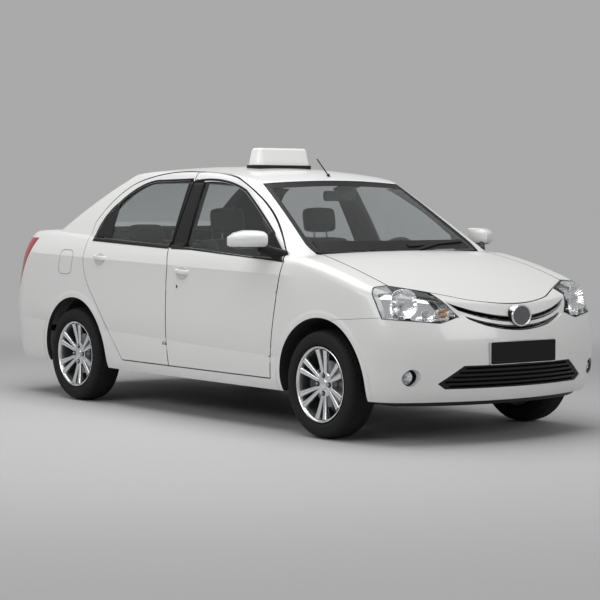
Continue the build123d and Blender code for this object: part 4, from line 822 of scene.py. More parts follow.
for side_name, side in SIDES.items():
    laid(f"pillar_front_{side_name}", between(*PILLAR_FRONT), f"front_door_{side_name}", side, trim_black,
         f"front_door_{side_name}", lift=0.0008, wall=0.0012)
    laid(f"pillar_rear_{side_name}", between(*PILLAR_REAR), f"rear_door_{side_name}", side, trim_black,
         f"rear_door_{side_name}", lift=0.0008, wall=0.0012)
    laid(f"corner_rear_{side_name}", between(*CORNER_REAR), f"rear_glass_{side_name}", side, trim_black,
         f"rear_door_{side_name}", lift=0.0025, wall=0.004)
    both = merged_target("door_and_pane", f"front_door_{side_name}", f"front_glass_{side_name}")
    laid(f"corner_front_{side_name}", between(*CORNER_FRONT, 24), both.name, side, trim_black,
         f"front_door_{side_name}", lift=0.0025, wall=0.004)
    bpy.data.objects.remove(both)
print("pillar bands and corner panels laid")

# %% [markdown]
# Headlamps. A real lamp is a clear cover over a deep tray with bright bowls in it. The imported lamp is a
# closed shell, so its outer faces become the cover, and the same faces moved inwards become the tray's
# floor. The tray's wall joins the two along the cover's free edge.

# %% Headlamp covers and trays
LAMP_LOOK = {"right": np.array([0.80, -0.50, 0.33]), "left": np.array([0.80, 0.50, 0.33])}
TRAY_SHIFT = {"right": np.array([-0.060, 0.022, -0.012]), "left": np.array([-0.060, -0.022, -0.012])}


def used_points(points, faces):
    """Only the points that the faces use, with the faces renumbered."""
    kept, where = np.unique(faces, return_inverse=True)
    return points[kept], where.reshape(faces.shape)


def facing(node, look, side, least=0.30):
    """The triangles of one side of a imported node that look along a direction."""
    points, triangles, normals = packed_arrays(node)
    centres = points[triangles].mean(1)
    return used_points(points, triangles[(normals @ look > least) & (np.sign(centres[:, 1]) == side)])


def free_edges(triangles):
    """The edges that belong to one triangle only, in the order of that triangle."""
    edges = np.concatenate([triangles[:, [0, 1]], triangles[:, [1, 2]], triangles[:, [2, 0]]])
    keys, first, count = np.unique(np.sort(edges, 1), axis=0, return_index=True, return_counts=True)
    return edges[first[count == 1]]


def tray(points, triangles, shift):
    """A moved copy of a sheet, and the wall between the sheet's free edge and that copy, as quads."""
    edges = free_edges(triangles)
    count = len(points)
    wall = np.column_stack([edges[:, 0], edges[:, 1], edges[:, 1] + count, edges[:, 0] + count])
    floor_quads = np.column_stack([triangles + count, triangles[:, 2] + count])
    return np.concatenate([points, points + shift]), wall, floor_quads


def rim_strip(points, triangles, width):
    """Quads between a sheet's free edge and that edge drawn towards the sheet's middle by a width."""
    edges = free_edges(triangles)
    arm = points.mean(0) - points
    drawn = points + arm * width / np.linalg.norm(arm, axis=1, keepdims=True)
    count = len(points)
    quads = np.column_stack([edges[:, 0], edges[:, 1], edges[:, 1] + count, edges[:, 0] + count])
    return used_points(np.concatenate([points, drawn]), quads)


lamp_trees = {}
for side_name, side in SIDES.items():
    points, triangles = facing("headlamps", LAMP_LOOK[side_name], side)
    lamp_trees[side_name] = BVHTree.FromPolygons(points.tolist(), triangles.tolist())
    cover = piece(f"lamp_cover_{side_name}", (points, triangles), lamp_glass, "body", sharp=50)
    skin_wall = cover.modifiers.new("wall", "SOLIDIFY")
    skin_wall.thickness, skin_wall.offset = 0.002, -1.0
    inner = points + 0.05 * TRAY_SHIFT[side_name]
    every, wall, bottom = tray(inner, triangles, TRAY_SHIFT[side_name])
    piece(f"lamp_wall_{side_name}", used_points(every, wall), silver, "body", sharp=40, wall=0.002)
    rim = rim_strip(points, triangles, 0.006)
    piece(f"lamp_rim_{side_name}", (rim[0] + 0.0008 * LAMP_LOOK[side_name], rim[1]), trim_black, "body",
          wall=0.0012)
    bottom_points, bottom_faces = used_points(every, bottom)
    piece(f"lamp_floor_{side_name}", (bottom_points, bottom_faces[:, :3]), chrome, "body", sharp=40)
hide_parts("headlamps")
print("headlamp covers and trays")

# %% [markdown]
# Bowls and bulbs. A bowl is a paraboloid, which sends its bulb's light straight ahead. Fine flutes round
# it give the broken sparkle that a lamp shows. The indicator has closer flutes and an amber bulb.


# %% Bowls, bulbs and indicators
def frame_of(normal):
    """Two directions across a normal: one level, one upwards."""
    normal = np.asarray(normal, float) / np.linalg.norm(normal)
    level = np.cross((0, 0, 1), normal)
    level /= np.linalg.norm(level)
    return level, np.cross(normal, level), normal


def bowl(centre, normal, width, height, depth, flutes=0, ripple=0.0, rows=20, cols=120):
    """A paraboloid: depth times one less the radius squared below its rim, rippled round its axis."""
    level, rise, out = frame_of(normal)
    share = np.linspace(0.02, 1, rows)[:, None]
    turn = np.linspace(0, 2 * np.pi, cols, endpoint=False)[None]
    x = share * width / 2 * np.sign(np.cos(turn)) * abs(np.cos(turn)) ** 0.75
    y = share * height / 2 * np.sign(np.sin(turn)) * abs(np.sin(turn)) ** 0.75
    drop = depth * (1 - share ** 2) + ripple * share * np.cos(flutes * turn)
    grid = centre + x[..., None] * level + y[..., None] * rise - drop[..., None] * out
    return sheet_of(grid, wrap_cols=True)


def on_cover(tree, y, z, sink):
    """The point of a lamp's cover at a place in front view, sunk below it, and the cover's normal there."""
    spot, normal = tree.ray_cast(Vector((3.0, y, z)), Vector((-1, 0, 0)))[:2]
    normal = np.array(normal) * np.sign(normal[0])
    return np.array(spot) - sink * normal, normal


BOWLS = {"beam": (0.660, 0.772, 0.150, 0.150, 0.034, 28, 0.0012),
         "low": (0.560, 0.705, 0.070, 0.060, 0.022, 16, 0.0006)}
for side_name, side in SIDES.items():
    for name, (y, z, width, height, depth, flutes, ripple) in BOWLS.items():
        centre, normal = on_cover(lamp_trees[side_name], side * y, z, 0.016)
        aim = 0.6 * normal + 0.4 * np.array([1.0, 0, 0])
        shell = bowl(centre, aim, width, height, depth, flutes, ripple)
        piece(f"lamp_bowl_{name}_{side_name}", shell, chrome, "body", sharp=60, wall=0.0015)
        axes = np.array(frame_of(aim)) * width * np.array([[0.09], [0.09], [0.16]])
        bulb = superellipsoid(centre - 0.6 * depth * np.array(frame_of(aim)[2]), axes, (2, 2), 14, 24)
        piece(f"lamp_bulb_{name}_{side_name}", bulb, pale_lens, "body", sharp=60)
    centre, normal = on_cover(lamp_trees[side_name], side * 0.468, 0.712, 0.012)
    shell = bowl(centre, normal, 0.110, 0.058, 0.024, 40, 0.0012)
    piece(f"lamp_bowl_turn_{side_name}", shell, chrome, "body", sharp=60, wall=0.0015)
    bulb = superellipsoid(centre - 0.012 * normal,
                          np.array(frame_of(normal)) * [[0.024], [0.009], [0.008]], (2, 2))
    piece(f"lamp_indicator_{side_name}", bulb, amber, "body", sharp=60)
print("lamp bowls:", 2 * len(BOWLS) + 2)

# %% [markdown]
# Fog lamps. Each one is a round glass a little domed, over a small bowl, inside a black ring that lies in
# the bumper's round opening.

# %% Fog lamps
FOG_AT = np.array([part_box("fog_lamps")[1][0], 0.669, 0.372])
FOG_RADIUS = 0.045


def ring(centre, normal, radius, profile, cols=72, flat=1.0):
    """A closed profile carried round a circle: radius plus p0 outwards, p1 along the normal."""
    level, rise, out = frame_of(normal)
    turn = np.linspace(0, 2 * np.pi, cols, endpoint=False)[:, None]
    reach = radius + profile[None, :, 0]
    across, over = reach * np.cos(turn), flat * reach * np.sin(turn)
    ahead = profile[None, :, 1] + 0 * turn
    grid = centre + across[..., None] * level + over[..., None] * rise + ahead[..., None] * out
    return sheet_of(grid, wrap_rows=True, wrap_cols=True)


for side_name, side in SIDES.items():
    centre = FOG_AT * (1, side, 1)
    out = np.array([1.0, 0, 0])
    rim = piece(f"fog_ring_{side_name}",
                ring(centre - 0.004 * out, out, FOG_RADIUS - 0.004, oval(0.010, 0.016, 2.5)),
                trim_black, "body", sharp=60)
    if side_name == "right":
        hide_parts("fog_lamps")
    piece(f"fog_housing_{side_name}", bowl(centre - 0.010 * out, out, 0.096, 0.096, 0.040), trim_black,
          "body", sharp=60, wall=0.002)
    piece(f"fog_bowl_{side_name}", bowl(centre, out, 0.076, 0.076, 0.028, 14, 0.001), chrome, "body",
          sharp=60, wall=0.0015)
    glass = bowl(centre + 0.001 * out, out, 0.076, 0.076, -0.007)
    piece(f"fog_glass_{side_name}", glass, lamp_glass, "body", sharp=60, wall=0.002)
    bulb = superellipsoid(centre - 0.012 * out, np.diag([0.012, 0.008, 0.008]), (2, 2), 12, 20)
    piece(f"fog_bulb_{side_name}", bulb, pale_lens, "body", sharp=60)
print("fog lamps at", FOG_AT)

# %% [markdown]
# Grille. Behind the painted bars there is a plain black backing, a sheet that follows the nose, with thin
# upright vanes in front of it. The slots between the bars are dark sheets laid on from ahead, each between
# two arcs. The badge is left plain: a bright oval ring on a disc.

# %% Grille backing, vanes and badge
NOSE_BOW = 0.240
NOSE_HALF = 0.819
NOSE_HEIGHTS = (0.235, 0.330, 0.470, 0.640, 0.770, 0.905)
NOSE_SET_BACK = (0.052, 0.012, 0.0, 0.028, 0.082, 0.148)


def nose_x(y, z, sink):
    """The nose's plan curve at a height: a parabola of the width, set back as the nose leans, and sunk."""
    set_back = np.interp(z, NOSE_HEIGHTS, NOSE_SET_BACK)
    return NOSE_X - set_back - NOSE_BOW * (y / NOSE_HALF) ** 2 - sink


def nose_sheet(half_width, low, high, sink, cols=60, rows=10):
    """A sheet that follows the nose between two heights, given as functions of y."""
    y = np.linspace(-half_width, half_width, cols)[:, None] + np.zeros((1, rows))
    z = low(y) + (high(y) - low(y)) * np.linspace(0, 1, rows)[None]
    return np.stack([nose_x(y, z, sink), y, z], -1)


def upper_low(y):
    """The lower edge of the upper grille's backing: a parabola of the width."""
    return 0.613 + 0.50 * y ** 2


def upper_high(y):
    """Its upper edge, a flatter parabola."""
    return 0.700 + 0.36 * y ** 2


def lower_low(y):
    """The level lower edge of the intake's backing."""
    return 0.305 + 0 * y


def lower_high(y):
    """Its upper edge: level in the middle, falling in a straight line to each end."""
    return np.clip(0.436 - 0.68 * np.clip(abs(y) - 0.39, 0, 1), 0.31, 1)


piece("grille_backing", sheet_of(nose_sheet(0.42, upper_low, upper_high, 0.034)), trim_black, "body",
      wall=0.002)
piece("intake_backing", sheet_of(nose_sheet(0.52, lower_low, lower_high, 0.040)), trim_black, "body",
      wall=0.002)
VANES = 13
vane_sheets = []
for y in np.linspace(-0.36, 0.36, VANES):
    z = np.linspace(upper_low(y), upper_high(y), 12)
    path = np.stack([nose_x(y, z, 0.024), y + 0 * z, z], -1)
    vane_sheets.append(bar(oval(0.004, 0.012, 4, 8), path, (1, 0, 0)))
piece("grille_vanes", joined(*vane_sheets), trim_black, "body")
BADGE_AT = np.array([NOSE_X - 0.0205, 0.0, 0.690])
piece("badge_ring", ring(BADGE_AT, (1, 0, 0), 0.068, oval(0.011, 0.010, 2.5), 96, 0.81), chrome, "body",
      sharp=60)
badge_grey = finish("badge_grey", (0.16, 0.16, 0.17), 0.22, metallic=0.7, coat=0.4, grain=300, uneven=0.08)
piece("badge_disc", bowl(BADGE_AT - (0.001, 0, 0), (1, 0, 0), 0.128, 0.104, -0.004), badge_grey, "body",
      sharp=60, wall=0.001)
SLOTS = (((0.436, 0.766), 0.686, (0.386, 0.725), 0.655), ((0.352, 0.694), 0.637, (0.336, 0.678), 0.606))
for number, ((high_y, high_z), high_middle, (low_y, low_z), low_middle) in enumerate(SLOTS):
    high = arc_through((-high_y, high_z), (0, high_middle), (high_y, high_z), 80)
    low = arc_through((-low_y, low_z), (0, low_middle), (low_y, low_z), 80)
    laid(f"slot_edge_{number}", between(low, high, 24), "upper_grille", 1, trim_black, "body",
         0.0006, 0.0008, True)
print("grille vanes:", VANES)

# %% [markdown]
# The plate is blank and sits in a thin bright frame: one rounded bar carried round a rectangle.

# %% Plate frame
PLATE_BAR = oval(0.008, 0.008, 3, 10)
FRAME_SINK = 0.0045


def rectangle_path(centre, level, rise, half_width, half_height, count=161):
    """A rectangle's rim: a circle's angles, drawn out to its sides by 1 / max(|cos|, |sin|)."""
    turn = np.linspace(0, 2 * np.pi, count)
    pull = 1 / np.maximum(abs(np.cos(turn)), abs(np.sin(turn)))
    across, over = half_width * np.cos(turn) * pull, half_height * np.sin(turn) * pull
    level, rise = np.asarray(level, float), np.asarray(rise, float)
    return np.asarray(centre) + across[:, None] * level + over[:, None] * rise


plate_low, plate_high = (np.array(corner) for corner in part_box("front_plate"))
half_width, half_height = (plate_high[1:] - plate_low[1:]) / 2
plate_middle = np.array([plate_high[0] - FRAME_SINK, 0.0, (plate_low[2] + plate_high[2]) / 2])
plate_path = rectangle_path(plate_middle, (0, 1, 0), (0, 0, 1), half_width, half_height)
plate_rim = sheet_of(carried(PLATE_BAR, plate_path, (1, 0, 0)), wrap_cols=True)
piece("plate_frame", plate_rim, silver, "body")
print("plate frame", 2 * half_width, "by", 2 * half_height)

# %% [markdown]
# The black lip under the front bumper keeps stones off the paint. It is a rounded bar carried along the
# bumper's lower edge in plan.

# %% Bumper lip
lip_y = np.linspace(-0.66, 0.66, 60)
lip_path = np.stack([nose_x(lip_y, np.full(60, 0.235), 0.030) - 0.05 * (lip_y / 0.66) ** 6, lip_y,
                     np.full(60, 0.228)], -1)
piece("bumper_lip", bar(oval(0.030, 0.034, 3.5, 16), lip_path, (0, 0, 1)), trim_black, "body")
print("bumper lip at", lip_path[30])

# %% [markdown]
# Door mirrors. The painted cap is a bulge over the mirror's back line: half a superellipse at each station
# along it, deep near the door and shallow at the tip. Its lowest band is black, as is the foot on the
# door's corner. The glass faces back.

# %% Door mirrors
MIRROR_LOW, MIRROR_HIGH = 1.031, 1.137
MIRROR_BACK = (np.array([0.786, 0.814]), np.array([0.727, 0.984]))
MIRROR_FRONT = ((0.927, 0.824), (0.881, 0.936), (0.751, 0.995))
BAND_TOP = 1.044
CAP_POWER = 3.0


def mirror_cap(side, stations=48, around=40):
    """Half superellipses that bulge forward, one at each station from back line to front arc in plan."""
    run = np.sin(np.linspace(0, np.pi / 2, stations))[:, None]
    tilt = np.linspace(-np.pi / 2, np.pi / 2, around)[None]
    start, end = MIRROR_BACK
    curve = arc_through(*MIRROR_FRONT, 200)
    front = np.stack([np.interp(run[:, 0], np.linspace(0, 1, 200), curve[:, axis]) for axis in (0, 1)], -1)
    back = start + run * (end - start)
    reach = (np.clip(run / 0.06, 0, 1) ** 0.3)[..., None]
    past = np.clip((run - 0.45) / 0.55, 0, 1)
    tall = (1 - 0.55 * past ** 2.0) * (0.94 + 0.06 * np.clip(run / 0.2, 0, 1))
    plan = back[:, None] + reach * bent(np.cos(tilt), CAP_POWER)[..., None] * (front - back)[:, None]
    middle = (MIRROR_LOW + MIRROR_HIGH) / 2 - 0.010 * past
    z = middle + (MIRROR_HIGH - MIRROR_LOW) / 2 * tall * bent(np.sin(tilt), CAP_POWER)
    return np.stack([plan[..., 0], side * plan[..., 1], z], -1)


for side_name, side in SIDES.items():
    body = f"front_door_{side_name}"
    shell = piece(f"mirror_cap_{side_name}", capped(mirror_cap(side)), paint, body,
                  (f"mirror_{side_name}",), sharp=48)
    shell.data.materials.append(trim_black)
    heights = np.empty(len(shell.data.polygons) * 3)
    shell.data.polygons.foreach_get("center", heights)
    shell.data.polygons.foreach_set("material_index", (heights[2::3] < BAND_TOP).astype(np.int32))
    start, end = (np.array([x, side * y, (MIRROR_LOW + MIRROR_HIGH) / 2]) for x, y in MIRROR_BACK)
    back = np.cross(end - start, (0, 0, 1)) * side
    back *= -np.sign(back[0]) / np.linalg.norm(back)
    pane = bowl((start + end) / 2 + 0.002 * back, back, 0.150, 0.088, -0.003)
    piece(f"mirror_glass_{side_name}", pane, chrome, body, sharp=60, wall=0.0015)
    foot = np.array([(0.975, side * 0.752, 0.990), (0.945, side * 0.785, 1.004),
                     (0.905, side * 0.822, 1.022), (0.860, side * 0.856, 1.040)])
    steps = np.linspace(0, 3, 24)
    foot_path = np.stack([np.interp(steps, range(4), foot[:, axis]) for axis in range(3)], -1)
    foot_bar = bar(oval(0.040, 0.070, 3, 20), foot_path, (0, 0, 1), np.linspace(1, 0.75, 24))
    piece(f"mirror_foot_{side_name}", foot_bar, trim_black, body)
print("mirror caps reach", MIRROR_BACK[1])

# %% [markdown]
# Door handles. A pull handle is a bar that rises from the skin, arches over a shallow dish for the fingers
# and dives back. The bar is carried along that arch. The dish is not dug in: it is a flat oval laid on the door,
# mid grey as painted shade of the hollow.

# %% Handles, dishes and locks
HANDLES = {"front": (0.067, 0.871), "rear": (-0.871, 0.927)}
HANDLE_HALF = 0.068
HANDLE_RISE = 0.026
# The dish's mid grey is painted shade, standing for the shadow in the hollow behind the handle.
dish_painted_shade = finish("dish_shade", (0.62, 0.62, 0.62), 0.35, coat=0.4, grain=500, uneven=0.02)


def oval_patch(centre, width, height, rows=12, cols=48):
    """A flat oval in side view as rings from its middle outwards."""
    share = np.linspace(0.02, 1, rows)[:, None, None]
    turn = np.linspace(0, 2 * np.pi, cols)[None]
    rim = np.stack([width / 2 * np.cos(turn), height / 2 * np.sin(turn)], -1)
    return np.asarray(centre) + share * rim


for side_name, side in SIDES.items():
    for row, (x, z) in HANDLES.items():
        door = f"{row}_door_{side_name}"
        points, triangles = packed_arrays(door)[:2]
        tree = BVHTree.FromPolygons(points.tolist(), triangles.tolist())
        skin = tree.ray_cast(Vector((x, side * 2.0, z)), Vector((0, -side, 0)))[0]
        run = np.linspace(-1, 1, 40)
        out = side * (HANDLE_RISE * (1 - run ** 4) - 0.006)
        path = np.stack([x + HANDLE_HALF * run, skin.y + out, z + 0.004 - 0.004 * run], -1)
        piece(f"handle_{row}_{side_name}", bar(oval(0.013, 0.028, 2.6, 20), path, (0, 0, 1)), paint, door)
        laid(f"dish_{row}_{side_name}", oval_patch((x, z - 0.004), 0.118, 0.078), door, side, dish_painted_shade,
             door, lift=0.0006, wall=0.0008)
    laid(f"lock_{side_name}", oval_patch((0.020, 0.785), 0.014, 0.020), f"front_door_{side_name}", side,
         trim_black, f"front_door_{side_name}", lift=0.001, wall=0.001)
print("handles:", 2 * len(HANDLES))

# %% [markdown]
# The fuel flap shows as a fine dark line in the right rear quarter: a rounded square drawn as a thin black strip,
# painted shade of the flap's gap.

# %% Fuel flap line
FLAP_CENTRE = np.array([-1.293, 0.893])
flap_turn = np.linspace(0, 2 * np.pi, 97)
flap = FLAP_CENTRE + np.stack([0.083 * np.sign(np.cos(flap_turn)) * abs(np.cos(flap_turn)) ** 0.45,
                               0.079 * np.sign(np.sin(flap_turn)) * abs(np.sin(flap_turn)) ** 0.45], -1)
# The strip is painted shade: the quarter panel has no flap cut in it.
laid("fuel_flap_line", band(flap, 0.0, 0.0025), "side_frames", -1, gasket_and_gap_shade, "body",
     lift=0.0004, wall=0.0004)
print("fuel flap at", FLAP_CENTRE)

# %% [markdown]
# The back carries a blank plate in its own frame and a bright grip bar above it. Both follow the boot lid:
# a ray from behind finds the skin at each place, and the pieces are built square to it.

# %% Rear plate and grip
lid_points, lid_triangles = packed_arrays("boot_lid")[:2]
lid_tree = BVHTree.FromPolygons(lid_points.tolist(), lid_triangles.tolist())
lid_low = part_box("boot_lid")[0]


def behind_lid(y, z, out):
    """The boot lid's point at a place in rear view, moved out along the skin's normal, and that normal."""
    spot, normal = lid_tree.ray_cast(Vector((-4.0, y, z)), Vector((1, 0, 0)))[:2]
    normal = np.array(normal) * -np.sign(normal[0])
    return np.array(spot) + out * normal, normal


REAR_PLATE_Z = lid_low[2] + 0.42 * (0.98 - lid_low[2])
centre, normal = behind_lid(0.0, REAR_PLATE_Z, 0.001)
level, rise, out = frame_of(normal)
rear_plate = superellipsoid(centre, (0.200 * level, 0.0035 * out, 0.062 * rise), (12, 12), 40, 64)
piece("rear_plate", rear_plate, plate_black, "boot_lid", sharp=40)
rim_path = rectangle_path(centre + 0.003 * out, level, rise, 0.203, 0.065)
rear_rim = sheet_of(carried(PLATE_BAR, rim_path, out), wrap_cols=True)
piece("rear_plate_frame", rear_rim, silver, "boot_lid")
grip_spots = [behind_lid(y, REAR_PLATE_Z + 0.105, 0.002)[0] for y in np.linspace(-0.30, 0.30, 25)]
grip = bar(oval(0.014, 0.030, 3.0, 16), np.array(grip_spots), out,
           1 - 0.7 * abs(np.linspace(-1, 1, 25)) ** 6)
piece("boot_grip", grip, chrome, "boot_lid")
print("rear plate at", centre)

# %% [markdown]
# Seats. A seat pad is a pillow: two faces that meet at a seam, each as high as the product of two powers
# that fall to nought at its edges. Side bolsters stand up along it, and sewn channels are pressed in.


# %% Seat pads as a formula
def pad_sheet(centre, axes, bolster=0.0, channels=(), seams=(), count=72):
    """A pillow: height c (1 - a^8)^0.4 (1 - b^8)^0.4, crowned, with bolsters and pressed channels."""
    share = np.sin(np.linspace(-np.pi / 2, np.pi / 2, count))
    a, b = np.meshgrid(share, share, indexing="ij")
    edge = (np.clip(1 - a ** 8, 0, 1) * np.clip(1 - b ** 8, 0, 1)) ** 0.4
    roll = bolster * np.clip((abs(b) - 0.48) / 0.22, 0, 1) ** 2
    inside = np.clip((0.60 - abs(b)) / 0.06, 0, 1)
    pressed = sum((np.exp(-((a - place) / 0.045) ** 2) * inside for place in channels), 0 * a)
    pressed = pressed + sum(np.exp(-((b - place) / 0.045) ** 2) for place in seams)
    crown = 0.88 + 0.12 * (1 - a ** 2) * (1 - b ** 2)
    front = edge * (crown + roll - 0.20 * np.clip(pressed, 0, 1))
    plan_a = a * np.sqrt(1 - 0.16 * b ** 4)
    plan_b = b * np.sqrt(1 - 0.16 * a ** 4)
    along, across, out = (np.asarray(axis, float) for axis in axes)
    flat = np.asarray(centre) + plan_a[..., None] * along + plan_b[..., None] * across
    return joined(sheet_of(flat + front[..., None] * out), sheet_of(flat - 0.9 * edge[..., None] * out))


def seat_back(foot, head, half_width, half_thick):
    """Centre and axes of a back rest in the car's middle plane, from its foot and head in side view."""
    foot, head = (np.array([x, 0.0, z]) for x, z in (foot, head))
    along = (head - foot) / 2
    out = np.cross((0, 1, 0), along)
    out *= half_thick / np.linalg.norm(out) * np.sign(out[0])
    return (foot + head) / 2, (along, np.array([0, half_width, 0]), out)


SEAMS = (-0.56, 0.56)
BENCH_SEAMS = (-0.34, 0.34)
pad_shapes = {
    "front_cushion": pad_sheet((0.245, 0, 0.455), ((0.250, 0, 0.020), (0, 0.235, 0), (-0.004, 0, 0.058)),
                               0.35, (-0.35, 0.15), SEAMS),
    "front_back": pad_sheet(*seat_back((0.030, 0.47), (-0.115, 1.070), 0.235, 0.056), 0.40,
                            (-0.45, -0.05, 0.35), SEAMS),
    "front_head": pad_sheet(*seat_back((-0.116, 1.098), (-0.140, 1.250), 0.122, 0.042)),
    "rear_cushion": pad_sheet((-0.665, 0, 0.455), ((0.198, 0, 0.012), (0, 0.532, 0), (0, 0, 0.070)), 0.0,
                              (), BENCH_SEAMS),
    "rear_back": pad_sheet(*seat_back((-0.860, 0.51), (-1.040, 1.01), 0.532, 0.060), 0.0, (-0.2, 0.4),
                           BENCH_SEAMS),
    "rear_head": pad_sheet(*seat_back((-1.062, 1.005), (-1.103, 1.132), 0.128, 0.040)),
}
print(len(pad_shapes), "pad shapes")

# %% [markdown]
# Foam under cloth is a little tight. Each pad is remeshed into even quads and blown up as cloth for a few
# frames, and no point may move further than a few millimetres, so that the pad keeps its channels. One
# subdivision smooths the quads afterwards.

# %% Pads blown up as cloth
VOXEL = 0.012
PRESSURE = 4.0
FRAMES = 16
MOST_MOVE = 0.007


def blown(name, sheet):
    """The pad as quads after its cloth run: start plus the move, shortened to the longest one allowed."""
    scene = bpy.context.scene
    work = bpy.data.objects.new(f"{name}_work", mesh_from(f"{name}_work", *sheet))
    scene.collection.objects.link(work)
    even = work.modifiers.new("even", "REMESH")
    even.mode, even.voxel_size = "VOXEL", VOXEL
    remeshed = bpy.data.meshes.new_from_object(work.evaluated_get(bpy.context.evaluated_depsgraph_get()))
    work.modifiers.clear()
    work.data = remeshed
    cloth = work.modifiers.new("cloth", "CLOTH")
    cloth.settings.use_pressure = True
    cloth.settings.uniform_pressure_force = PRESSURE
    cloth.settings.effector_weights.gravity = 0.0
    cloth.point_cache.frame_start, cloth.point_cache.frame_end = 1, FRAMES
    for number in range(1, FRAMES + 1):
        scene.frame_set(number)
    swollen = bpy.data.meshes.new_from_object(work.evaluated_get(bpy.context.evaluated_depsgraph_get()))
    start, end = points_of(remeshed), points_of(swollen)
    move = end - start
    far = np.linalg.norm(move, axis=1, keepdims=True)
    quads = np.empty(len(remeshed.polygons) * 4, np.int32)
    remeshed.polygons.foreach_get("vertices", quads)
    bpy.data.objects.remove(work)
    scene.frame_set(1)
    print(name, len(start), "points, middle move", float(np.median(far)))
    return start + move * np.minimum(1, MOST_MOVE / np.maximum(far, 1e-9)), quads.reshape(-1, 4)


pad_shapes = {name: blown(name, sheet) for name, sheet in pad_shapes.items()}

# %% [markdown]
# The front seats stand on moulded bases, and steel posts carry their head rests. The two front seats and the two
# rear head rests share one shape each, moved sideways.

# %% Seats in place
PAD_PLACES = {"front_cushion": (-0.36, 0.36), "front_back": (-0.36, 0.36), "front_head": (-0.36, 0.36),
              "rear_cushion": (0.0,), "rear_back": (0.0,), "rear_head": (-0.33, 0.33)}
STANDS_FOR = {"front_back": "front_seats", "rear_back": "rear_seat"}
for name, places in PAD_PLACES.items():
    points, quads = pad_shapes[name]
    for number, y in enumerate(places):
        pad = piece(f"{name}_{number}", (points + np.array([0, y, 0]), quads), seat_cloth, "body",
                    sharp=60)
        soft = pad.modifiers.new("soft", "SUBSURF")
        soft.levels = soft.render_levels = 1
        if name in STANDS_FOR and number == 0:
            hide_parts(STANDS_FOR[name])
for side_name, side in SIDES.items():
    y = side * 0.36
    posts = [bar(oval(0.011, 0.011), line((-0.108, y + gap, 1.04), (-0.122, y + gap, 1.13), 6), (1, 0, 0))
             for gap in (-0.05, 0.05)]
    piece(f"head_posts_{side_name}", joined(*posts), steel, "body")
    base = superellipsoid((0.235, y, 0.365), np.diag([0.20, 0.19, 0.055]), (5, 5))
    piece(f"front_base_{side_name}", base, cabin_plastic, "body", sharp=60)

# %% [markdown]
# The windscreen has a black printed border that hides its glue. It is a strip along the pane's outline in
# front view, laid on the glass from ahead.

# %% Windscreen border
SCREEN = np.concatenate([line((0.0, 0.968), (0.592, 0.968), 30), line((0.592, 0.968), (0.624, 1.012), 8),
                         line((0.624, 1.012), (0.629, 1.060), 8), line((0.629, 1.060), (0.522, 1.404), 40),
                         arc_through((0.522, 1.404), (0.30, 1.416), (0.0, 1.424), 30)])
SCREEN = SCREEN[np.r_[True, np.linalg.norm(np.diff(SCREEN, axis=0), axis=1) > 1e-6]]
for side_name, side in SIDES.items():
    outline = SCREEN * (side, 1)
    strip = band(outline, side * 0.002, side * np.where(outline[:, 1:] < 0.969, 0.105, 0.032))
    laid(f"screen_border_{side_name}", strip, "windscreen", 1, trim_black, "body", 0.0006, 0.0,
         True)
print("windscreen border of", len(SCREEN), "points a side")

# %% [markdown]
# The camera stands where the photograph was taken from, almost level with the window line. Its lens is a
# long one, which keeps the car's far end nearly as tall as its near end, and is given as a share of the
# picture's width.

# %% Camera
CAMERA_AT = np.array([10.0092, -7.6825, 1.3610])
CAMERA_YAW, CAMERA_PITCH, CAMERA_ROLL = 2.48012, -0.05404, 0.00476
LENS_SHARE = 2017.245 / 600
SENSOR = 36.0


def camera_axes(yaw, pitch, roll):
    """Right, up and forward directions of a camera from its three angles."""
    forward = np.array([np.cos(pitch) * np.cos(yaw), np.cos(pitch) * np.sin(yaw), np.sin(pitch)])
    right = np.cross(forward, (0, 0, 1))
    right /= np.linalg.norm(right)
    up = np.cross(right, forward)
    return np.cos(roll) * right + np.sin(roll) * up, np.cos(roll) * up - np.sin(roll) * right, forward


right, up, forward = camera_axes(CAMERA_YAW, CAMERA_PITCH, CAMERA_ROLL)
camera = bpy.data.objects.new("camera", bpy.data.cameras.new("camera"))
camera.data.sensor_width = SENSOR
camera.data.lens = SENSOR * LENS_SHARE
camera.data.clip_end = 200
stance = np.eye(4)
stance[:3] = np.column_stack([right, up, -forward, CAMERA_AT])
camera.matrix_world = Matrix(stance.tolist())
bpy.context.scene.collection.objects.link(camera)
bpy.context.scene.camera = camera
bpy.context.scene.view_settings.view_transform = "Standard"
print("camera at", CAMERA_AT)

# %% [markdown]
# A studio floor is a pale sheet swept up behind the car so that it shows no edge. Here it is one square
# whose finish fades to clear with the distance from the car's middle, which hides its end in the same way.

# %% Floor
FLOOR_HALF = 30.0
FLOOR_FADE = (3.2, 7.5)
floor_corners = np.array([(-1, -1, 0), (1, -1, 0), (1, 1, 0), (-1, 1, 0)], float) * FLOOR_HALF
floor_mesh = mesh_from("floor", floor_corners, np.array([(0, 1, 2, 3)]))
floor_finish = finish("studio_floor", (0.50, 0.50, 0.50), 0.7, grain=3, uneven=0.01, bump=0.0)
nodes, links = floor_finish.node_tree.nodes, floor_finish.node_tree.links
reach = nodes.new("ShaderNodeVectorMath")
reach.operation = "LENGTH"
links.new(nodes["Texture Coordinate"].outputs["Object"], reach.inputs[0])
fade = nodes.new("ShaderNodeMapRange")
fade.interpolation_type = "SMOOTHSTEP"
fade.inputs["From Min"].default_value, fade.inputs["From Max"].default_value = FLOOR_FADE
links.new(reach.outputs["Value"], fade.inputs["Value"])
blend = nodes.new("ShaderNodeMixShader")
links.new(fade.outputs["Result"], blend.inputs["Fac"])
links.new(nodes["Principled BSDF"].outputs[0], blend.inputs[1])
links.new(nodes.new("ShaderNodeBsdfTransparent").outputs[0], blend.inputs[2])
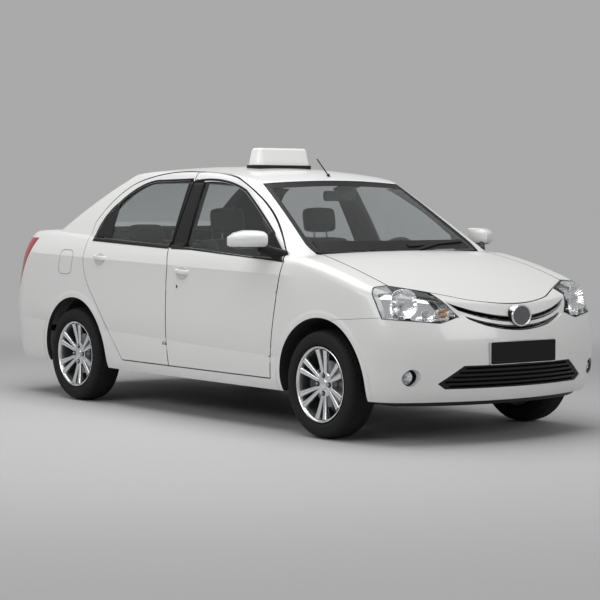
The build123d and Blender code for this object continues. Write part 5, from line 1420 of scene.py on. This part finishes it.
links.new(blend.outputs[0], nodes["Material Output"].inputs["Surface"])
floor_mesh.materials.append(floor_finish)
floor = bpy.data.objects.new("floor", floor_mesh)
bpy.context.scene.collection.objects.link(floor)
print("floor fades between", FLOOR_FADE)

# %% [markdown]
# The backdrop is one plain grey. What lights the car from all round is weaker than what the camera,
# reflections and panes see, so the kind of ray chooses between two backgrounds.

# %% Backdrop
BACKDROP = 0.40
SURROUND = (0.62, 0.62, 0.63, 1)
SURROUND_STRENGTH = 0.33
world = bpy.data.worlds.new("studio")
world.use_nodes = True
nodes, links = world.node_tree.nodes, world.node_tree.links
nodes["Background"].inputs["Color"].default_value = SURROUND
nodes["Background"].inputs["Strength"].default_value = SURROUND_STRENGTH
seen = nodes.new("ShaderNodeBackground")
seen.inputs["Color"].default_value = (BACKDROP, BACKDROP, BACKDROP, 1)
path = nodes.new("ShaderNodeLightPath")
direct = nodes.new("ShaderNodeMath")
direct.operation = "MAXIMUM"
links.new(path.outputs["Is Camera Ray"], direct.inputs[0])
links.new(path.outputs["Is Glossy Ray"], direct.inputs[1])
either = nodes.new("ShaderNodeMath")
either.operation = "MAXIMUM"
links.new(direct.outputs[0], either.inputs[0])
links.new(path.outputs["Is Transmission Ray"], either.inputs[1])
blend = nodes.new("ShaderNodeMixShader")
links.new(either.outputs[0], blend.inputs["Fac"])
links.new(nodes["Background"].outputs[0], blend.inputs[1])
links.new(seen.outputs[0], blend.inputs[2])
links.new(blend.outputs[0], nodes["World Output"].inputs["Surface"])
bpy.context.scene.world = world
print("backdrop", BACKDROP)

# %% [markdown]
# Soft boxes give white paint its wide, gentle highlights: a large one overhead, a long one beside the near
# side and a small one ahead of the nose. Each is a place, a point to look at, a size and a power in watts.

# %% Soft boxes
LAMPS = {"overhead": ((0.0, -0.8, 5.5), (0.0, 0.0, 0.5), (8.0, 5.0), 320),
         "near_side": ((1.0, -8.0, 4.5), (0.2, 0.0, 0.8), (8.0, 2.5), 190),
         "nose_side": ((9.0, 2.0, 4.0), (1.5, 0.0, 0.6), (4.0, 3.0), 120)}
for name, (place, target, size, watts) in LAMPS.items():
    light = bpy.data.lights.new(name, "AREA")
    light.shape = "RECTANGLE"
    light.size, light.size_y = size
    light.energy = watts
    lamp = bpy.data.objects.new(name, light)
    lamp.location = place
    lamp.rotation_euler = (Vector(target) - Vector(place)).to_track_quat("-Z", "Y").to_euler()
    bpy.context.scene.collection.objects.link(lamp)
print(len(LAMPS), "soft boxes")
